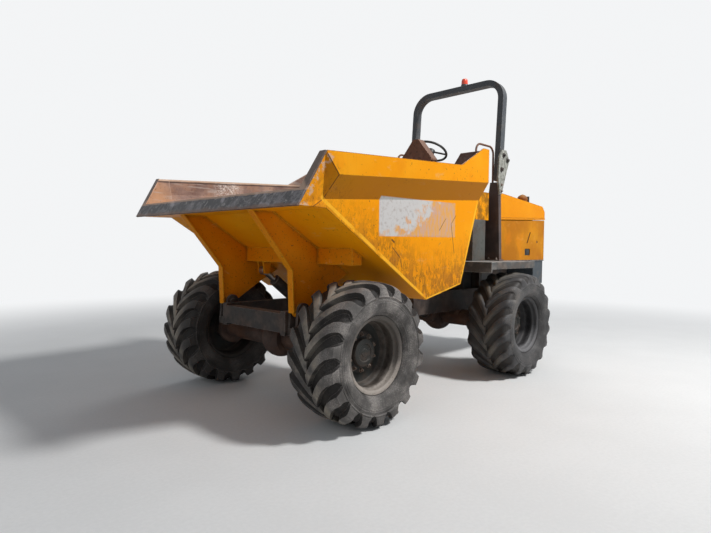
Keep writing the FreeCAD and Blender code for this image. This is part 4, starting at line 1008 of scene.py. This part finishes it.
def tyre(name, body, place, height, fill, roundness, rubber):
    mesh = bmesh.new()
    half = ringed_profile(fill)
    add_turned(mesh, [(-y, r) for y, r in reversed(half)] + half[1:], 144)
    for side, late in ((1, 0.0), (-1, 0.5)):
        for number in range(LUGS):
            start = FIRST_LUG + HALF_LUG + PITCH * (number + late)
            add_strip(mesh, lug_rows(start, side, height, fill, roundness))
    made = make_piece(name, mesh, rubber[0], body, place, 40)
    made.data.materials.append(rubber[1])
    print(name, len(made.data.polygons), "faces")
    return made


# end: lug height, carcass filled up by, how round the lugs are worn
treads = {"front": (0.0418, 0.0, 0.06), "rear": (0.0248, 0.017, 0.45)}
for end, tread in treads.items():
    for hand in ("left", "right"):
        node = f"tyre_{end}_{hand}"
        made = tyre("lugged_" + node, f"wheel_{end}_{hand}", middle(node), *tread, rubbers[end])
        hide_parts(node)

# %% [markdown]
# A wheel is a rolled rim welded to a dished disc, with the axle's hub in its middle. Its outline has the
# flange that holds the tyre, the step of the well that lets the tyre on, and the hub's cap. It is turned
# in one go from the outboard side, and ten nuts hold it.

# %% Outlines of a wheel and its nuts
# along the axle towards the outside, radius
WHEEL = [(0.066, 0.0), (0.066, 0.03), (0.062, 0.034), (0.062, 0.066), (0.07, 0.072), (0.07, 0.102),
         (0.067, 0.109), (0.06, 0.112), (0.026, 0.1135), (0.024, 0.12), (0.024, 0.16), (0.02, 0.168),
         (0.012, 0.176), (0.009, 0.184), (0.009, 0.226), (0.013, 0.236), (0.022, 0.242), (0.046, 0.245),
         (0.053, 0.249), (0.06, 0.256), (0.07, 0.259), (0.094, 0.2585), (0.099, 0.2565), (0.138, 0.2575),
         (0.143, 0.261), (0.15, 0.267), (0.16, 0.2705), (0.18, 0.272), (0.187, 0.2765), (0.1925, 0.286),
         (0.195, 0.295), (0.195, 0.3035), (0.1935, 0.305), (0.187, 0.305), (0.187, 0.285), (-0.187, 0.285),
         (-0.187, 0.305), (-0.1935, 0.305), (-0.195, 0.3035), (-0.195, 0.295), (-0.187, 0.2765),
         (-0.18, 0.2705), (-0.015, 0.262), (-0.009, 0.24), (-0.009, 0.12), (-0.012, 0.112),
         (-0.147, 0.112), (-0.15, 0.109), (-0.15, 0.0605), (-0.0545, 0.0605), (-0.0545, 0.0)]
NUT = [(0.0, 0.0), (0.0, 0.0165), (0.014, 0.0165), (0.017, 0.0145), (0.017, 0.0)]
STUD = [(0.01, 0.0), (0.01, 0.0085), (0.026, 0.0085), (0.028, 0.0068), (0.028, 0.0)]
WASHER = [(0.0, 0.0), (0.0, 0.021), (0.0025, 0.021), (0.0025, 0.0)]
print("outline of the wheel:", len(WHEEL), "points")

# %% Finish of the wheels


def wheel_finish(name, axle, deep, outer):
    """Dark paint on disc and hub; the rolled rim is dirty deep inside and pale with dust near its flange,
    lighter there at the bottom as painted sunlight and darker at the top as painted shade, with painted
    shade on the side towards the machine and in its corners.
    """
    material, shader, field = start_finish(name, 0.35)
    place = place_of(field)
    y, z = axes(place)[1:]
    facing_out = ease(abs(axes(facing_of(field))[1]), 0.35, 0.75)
    flat_on = facing_out * fade(length_of(from_hub(place, axle)), 0.24, 0.26)
    clouds = noise(place, 8.0, 6.0, 0.65)
    grit = noise(place, 60.0, 5.0, 0.7)
    disc = paint_over(ease(clouds, 0.48, 0.7) * 0.7, (0.016, 0.017, 0.015), (0.07, 0.045, 0.033))
    near_flange = ease(abs(y) + clouds * 0.16, HALF_TRACK + 0.165, HALF_TRACK + 0.235)
    # painted sunlight on the lower part of the rim and painted shade on its upper part
    sunlit_low = fade(z + clouds * 0.3, HUB_HEIGHT - 0.08, HUB_HEIGHT + 0.14)
    # painted shade on the side towards the machine
    shaded_inner_side = fade(abs(y), HALF_TRACK - 0.1, HALF_TRACK - 0.04)
    colour = coated(
        deep,
        (ease(clouds, 0.38, 0.62), toned(deep, 2.2)),
        (near_flange * 0.9, paint_over(sunlit_low, toned(outer, 0.32), outer)),
        (ease(grit, 0.56, 0.66) * 0.6, toned(deep, 0.6)),
        (flat_on, disc),
        (edges(field, 0.004) * ease(grit, 0.4, 0.6) * 0.6, (0.26, 0.23, 0.21)),
        (shaded_inner_side * 0.9, (0.018, 0.015, 0.013)),
        # painted shade in the wheel's corners
        (shaded_hollows(field, 0.06) * 0.6, (0.012, 0.01, 0.009)),
    )
    link_up(shader, base_color=colour, roughness=0.5 + clouds * 0.25,
            normal=bumped(grit * 0.6 + clouds * 1.5, 0.4, 0.002, 0.003))
    return material


# %% Wheels
NUTS = 10
NUT_CIRCLE = 0.142
DISC_FACE = 0.024


def add_bolt(mesh, at, axis, size=1.0, lean=0.0):
    """A washer, a chamfered nut and the stud's end."""
    for outline, steps in ((WASHER, 20), (NUT, 6), (STUD, 12)):
        add_turned(mesh, [(a * size, r * size) for a, r in outline], steps, at, axis, lean)


# end: axle x, colour deep in the rim, colour near its flange
wheel_looks = {
    "front": (FRONT, (0.05, 0.041, 0.034), (0.36, 0.315, 0.275)),
    "rear": (REAR, (0.022, 0.021, 0.022), (0.15, 0.147, 0.15)),
}
for end, look in wheel_looks.items():
    wheel_paint = wheel_finish(end + "_wheel_paint", *look)
    for hand, side in (("left", 1), ("right", -1)):
        node, body = f"rim_{end}_{hand}", f"wheel_{end}_{hand}"
        hub = middle(f"tyre_{end}_{hand}")
        mesh = bmesh.new()
        add_turned(mesh, [(side * a, r) for a, r in WHEEL], 96)
        wheel = make_piece("rolled_" + node, mesh, wheel_paint, body, hub, 28)
        mesh = bmesh.new()
        for number in range(NUTS):
            angle = 2 * math.pi * (number + 0.5) / NUTS
            spot = (NUT_CIRCLE * math.cos(angle), side * DISC_FACE, NUT_CIRCLE * math.sin(angle))
            add_bolt(mesh, spot, (0, side, 0), 1.0, number * 0.37)
        nuts = make_piece(f"wheel_nuts_{end}_{hand}", mesh, finish["bolt_steel"], body, hub, 28)
        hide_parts(node)
        print(wheel.name, len(wheel.data.polygons), "faces, nuts", len(nuts.data.polygons))

# %% [markdown]
# The seat is two foam pads under vinyl. A pad starts as a rounded box, which is remeshed evenly and then
# blown up a little as cloth, so that its faces swell between the seams as sewn foam does. The sewn
# channels come last, because the blowing would smooth them away.

# %% Swelling a pad
SWELL_STEPS = 20


def add_block(mesh, low, high, round_by, segments=3, profile=0.5):
    """A block between two corners, with rounded edges."""
    made = bmesh.ops.create_cube(mesh, size=1.0)["verts"]
    for vert in made:
        vert.co = [(low[i] + high[i]) / 2 + vert.co[i] * (high[i] - low[i]) for i in range(3)]
    sharp = [edge for edge in mesh.edges if edge.verts[0] in made]
    bmesh.ops.bevel(mesh, geom=sharp, offset=round_by, segments=segments, profile=profile, affect="EDGES")


def evaluated(piece):
    """The piece's mesh with its modifiers worked out."""
    graph = bpy.context.evaluated_depsgraph_get()
    return bpy.data.meshes.new_from_object(piece.evaluated_get(graph), depsgraph=graph)


def blow_up(piece, most):
    """Swell a closed piece as cloth under pressure, no point moving further than most."""
    remesh = piece.modifiers.new("even", "REMESH")
    remesh.mode, remesh.voxel_size = "VOXEL", 0.008
    piece.data = evaluated(piece)
    piece.modifiers.clear()
    before = [vert.co.copy() for vert in piece.data.vertices]
    cloth = piece.modifiers.new("swell", "CLOTH")
    cloth.settings.use_pressure = True
    cloth.settings.uniform_pressure_force = 4.0
    cloth.settings.quality = 4
    cloth.settings.effector_weights.gravity = 0.0
    cloth.point_cache.frame_start, cloth.point_cache.frame_end = 1, SWELL_STEPS
    for step in range(1, SWELL_STEPS + 1):
        scene.frame_set(step)
        bpy.context.view_layer.update()
    swollen = evaluated(piece)
    piece.modifiers.clear()
    for vert, start in zip(swollen.vertices, before):
        move = vert.co - start
        if move.length > most:
            vert.co = start + move * (most / move.length)
    piece.data = swollen
    scene.frame_set(1)


# %% Seat pads
SEAM_DEPTH = 0.006
SEAM_WIDTH = 0.045


def sewn_pad(name, node, seams, lean=0.0):
    """A pad in a node's box, with channels sewn from side to side at the given shares of its length."""
    low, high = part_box(node)
    low.x += lean / 2
    high.x -= lean / 2
    size = high - low
    thin = min((0, 2), key=lambda i: size[i])
    along = 2 - thin
    inset = Vector((0.01, 0.01, 0.01))
    mesh = bmesh.new()
    add_block(mesh, low + inset, high - inset, 0.022, 4, 0.6)
    piece = make_piece(name, mesh, seat_vinyl, "rear_chassis", angle=75)
    blow_up(piece, 0.011)
    centre = (low + high) / 2
    for vert in piece.data.vertices:
        unit = [(vert.co[i] - centre[i]) / (size[i] / 2) for i in range(3)]
        inner = max(0.0, 1 - abs(unit[1]) ** 6)
        depth = sum(math.exp(-((unit[along] - seam) / SEAM_WIDTH) ** 2) for seam in seams)
        vert.co[thin] -= math.copysign(min(depth, 1.0) * SEAM_DEPTH * inner, unit[thin])
        for i in range(3):
            vert.co[i] = min(max(vert.co[i], low[i] + 0.001), high[i] - 0.001)
        vert.co.x -= lean * (vert.co.z - centre.z) / size.z
    piece.data.shade_smooth()
    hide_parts(node)
    print(name, len(piece.data.polygons), "faces")


sewn_pad("seat_cushion_pad", "seat_cushion", (-0.4, 0.0, 0.4))
sewn_pad("seat_back_pad", "seat_backrest", (-0.45, -0.05, 0.35), 0.055)

# %% [markdown]
# The beacon is a ribbed lens on a black foot. The ribs scatter the lamp's light, so the lens is turned in
# many steps and every few steps stand a little proud.

# %% Beacon
UP = (0, 0, 1)
foot_outline = [(0.0, 0.0), (0.0, 0.0478), (0.006, 0.0478), (0.009, 0.046), (0.026, 0.0445),
                (0.029, 0.042), (0.029, 0.0)]
low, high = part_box("beacon")
tall = high.z - low.z
stand = ((low.x + high.x) / 2, (low.y + high.y) / 2, low.z)
lens_outline = [(0.027, 0.0), (0.027, 0.0405), (0.03, 0.0412), (0.078, 0.0392), (0.09, 0.036),
                (0.098, 0.028), (tall - 0.0015, 0.015), (tall - 0.0005, 0.0)]


def press_ribs(rows, first, last, depth, every, sharp=1.0):
    """Draw some points of a turned outline in towards the upright axis, deepest once in so many steps."""
    for step, row in enumerate(rows):
        for vert in row[first:last]:
            vert.co.xy *= 1.0 - depth * wave(step, every) ** sharp


mesh = bmesh.new()
add_turned(mesh, foot_outline, 48, axis=UP)
make_piece("beacon_foot", mesh, black_plastic, "roll_bar", stand)
mesh = bmesh.new()
press_ribs(add_turned(mesh, lens_outline, 120, axis=UP), 2, 4, 0.022, 5)
top = make_piece("beacon_ribbed_lens", mesh, lens, "roll_bar", stand, 50)
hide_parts("beacon")
print("beacon", round(tall, 3), "m tall")

# %% [markdown]
# The bowl on the engine cover spins dust out of the air before it reaches the filter. Its wall is pressed
# into upright ribs all round, between a plain foot and a domed lid, and rust has got into every groove.

# %% Pre-cleaner
# share of the height, share of the half width
BOWL = [(0.0, 0.0), (0.0, 0.62), (0.1, 0.66), (0.14, 0.94), (0.18, 0.99), (0.22, 0.99), (0.66, 0.99),
        (0.7, 0.99), (0.74, 1.0), (0.8, 0.97), (0.9, 0.72), (0.97, 0.34), (1.0, 0.0)]
low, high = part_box("pre_cleaner")
tall, wide = high.z - low.z, (high.x - low.x) / 2
stand = ((low.x + high.x) / 2, (low.y + high.y) / 2, low.z)
mesh = bmesh.new()
rows = add_turned(mesh, [(a * tall, r * wide) for a, r in BOWL], 144, axis=UP)
press_ribs(rows, 5, 7, 0.1, 6, 0.7)
made = make_piece("pre_cleaner_bowl", mesh, finish["orange_sheet"], "hood", stand, 40)
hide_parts("pre_cleaner")
print("pre-cleaner", round(tall, 3), "m tall")

# %% [markdown]
# Nuts, pins and latches are small, but a machine without them looks like a toy. The same chamfered nut as
# on the wheels, at other sizes, holds the posts' feet and the hinge plates. The side panels' latches are a
# black tray with a paddle in it, and under the levers sit two rubber bellows.

# %% Nuts on the posts
mesh = bmesh.new()
for side in (1, -1):
    for across in (0.47, 0.57, 0.67):
        add_bolt(mesh, (REAR - 0.212, side * across, 1.265), UP, 0.85, across * 7)
    for high_up in (2.075, 2.15):
        add_bolt(mesh, (REAR - 0.262, side * 0.692, high_up), (0, side, 0), 0.8, high_up * 5)
make_piece("post_nuts", mesh, finish["bolt_steel"], "rear_chassis")

# %% Pins of the folding joint
PIN_HEAD = [(0.0, 0.0), (0.0, 0.03), (0.004, 0.03), (0.006, 0.028), (0.006, 0.0165), (0.024, 0.0165),
            (0.026, 0.0145), (0.026, 0.0)]
mesh = bmesh.new()
for side in (1, -1):
    for along, high_up in ((-0.39, 2.45), (-0.3, 2.5), (-0.255, 2.33)):
        add_turned(mesh, PIN_HEAD, 28, (REAR + along, side * 0.692, high_up), (0, side, 0))
make_piece("hinge_pin_heads", mesh, finish["frame_paint"], "rear_chassis")

# %% Latches of the side panels
PANEL_FLOOR = 0.654
# low and high x from the rear axle and z, how far out it starts and ends, rounding: tray, paddle, bars
slabs = [((-1.094, 1.315), (-0.956, 1.395), 0.0, 0.002, 0.0008),
         ((-1.075, 1.335), (-0.985, 1.378), 0.002, 0.006, 0.0018)]
for bar in range(9):
    x, z = -1.097 + bar * 0.0095, 1.597 - bar * 0.0145
    slabs.append(((x - 0.008, z - 0.0078), (x + 0.01, z + 0.0078), 0.0, 0.0015, 0.0006))
KNOB = [(0.0, 0.0), (0.0, 0.0135), (0.005, 0.0135), (0.0065, 0.012), (0.0065, 0.004), (0.004, 0.0)]
for hand, side in (("left", 1), ("right", -1)):
    mesh = bmesh.new()
    for low, high, inner, outer, round_by in slabs:
        near, far = sorted((side * (PANEL_FLOOR + inner), side * (PANEL_FLOOR + outer)))
        add_block(mesh, (REAR + low[0], near, low[1]), (REAR + high[0], far, high[1]), round_by)
    add_turned(mesh, KNOB, 24, (REAR - 1.297, side * PANEL_FLOOR, 1.488), (0, side, 0))
    make_piece("panel_latch_" + hand, mesh, latch_black, "rear_chassis")

# %% Bellows under the levers
low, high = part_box("control_levers")
BELLOWS = [(0.0, 0.0), (0.0, 0.03), (0.004, 0.03)]
for ring in range(4):
    BELLOWS += [(0.008 + ring * 0.011, 0.026 - ring * 0.003), (0.013 + ring * 0.011, 0.02 - ring * 0.0025)]
BELLOWS += [(0.054, 0.0098), (0.058, 0.0096)]
mesh = bmesh.new()
for x in (low.x + 0.022, high.x - 0.022):
    add_turned(mesh, BELLOWS, 32, (x, (low.y + high.y) / 2, low.z), UP)
make_piece("lever_bellows", mesh, black_plastic, "rear_chassis", angle=50)

# %% [markdown]
# A weld is a row of small overlapping ripples. On the underside the two ribs are welded to the skip along
# both faces, in full view of the camera, so each seam gets a bead: a thin tube whose radius rises and
# falls, laid along the corner between rib and floor.

# %% Weld beads under the skip
BEAD_RADIUS = 0.0055
RIPPLE = 0.007


def add_bead(mesh, start, end):
    start, end = Vector(start), Vector(end)
    length = (end - start).length
    steps = max(4, int(length / RIPPLE) * 3)
    outline = [(0.0, 0.0)]
    for step in range(steps + 1):
        full = 0.82 + 0.18 * abs(math.sin(math.pi * step / 3)) + 0.05 * math.sin(step * 0.7)
        outline.append((length * (step / steps), BEAD_RADIUS * full))
    outline.append((length, 0.0))
    add_turned(mesh, outline, 8, start, end - start)


mesh = bmesh.new()
# x from the front axle and z of both ends of the two runs along a rib's foot
runs = [((0.695, 1.658), (0.502, 1.658)), ((0.502, 1.657), (-0.32, 1.161))]
for side in (1, -1):
    for face in (0.5, 0.524):
        for run in runs:
            add_bead(mesh, *[(FRONT + x, side * face, z) for x, z in run])
make_piece("rib_weld_beads", mesh, shaded_under_skip_paint, "skip", angle=60)
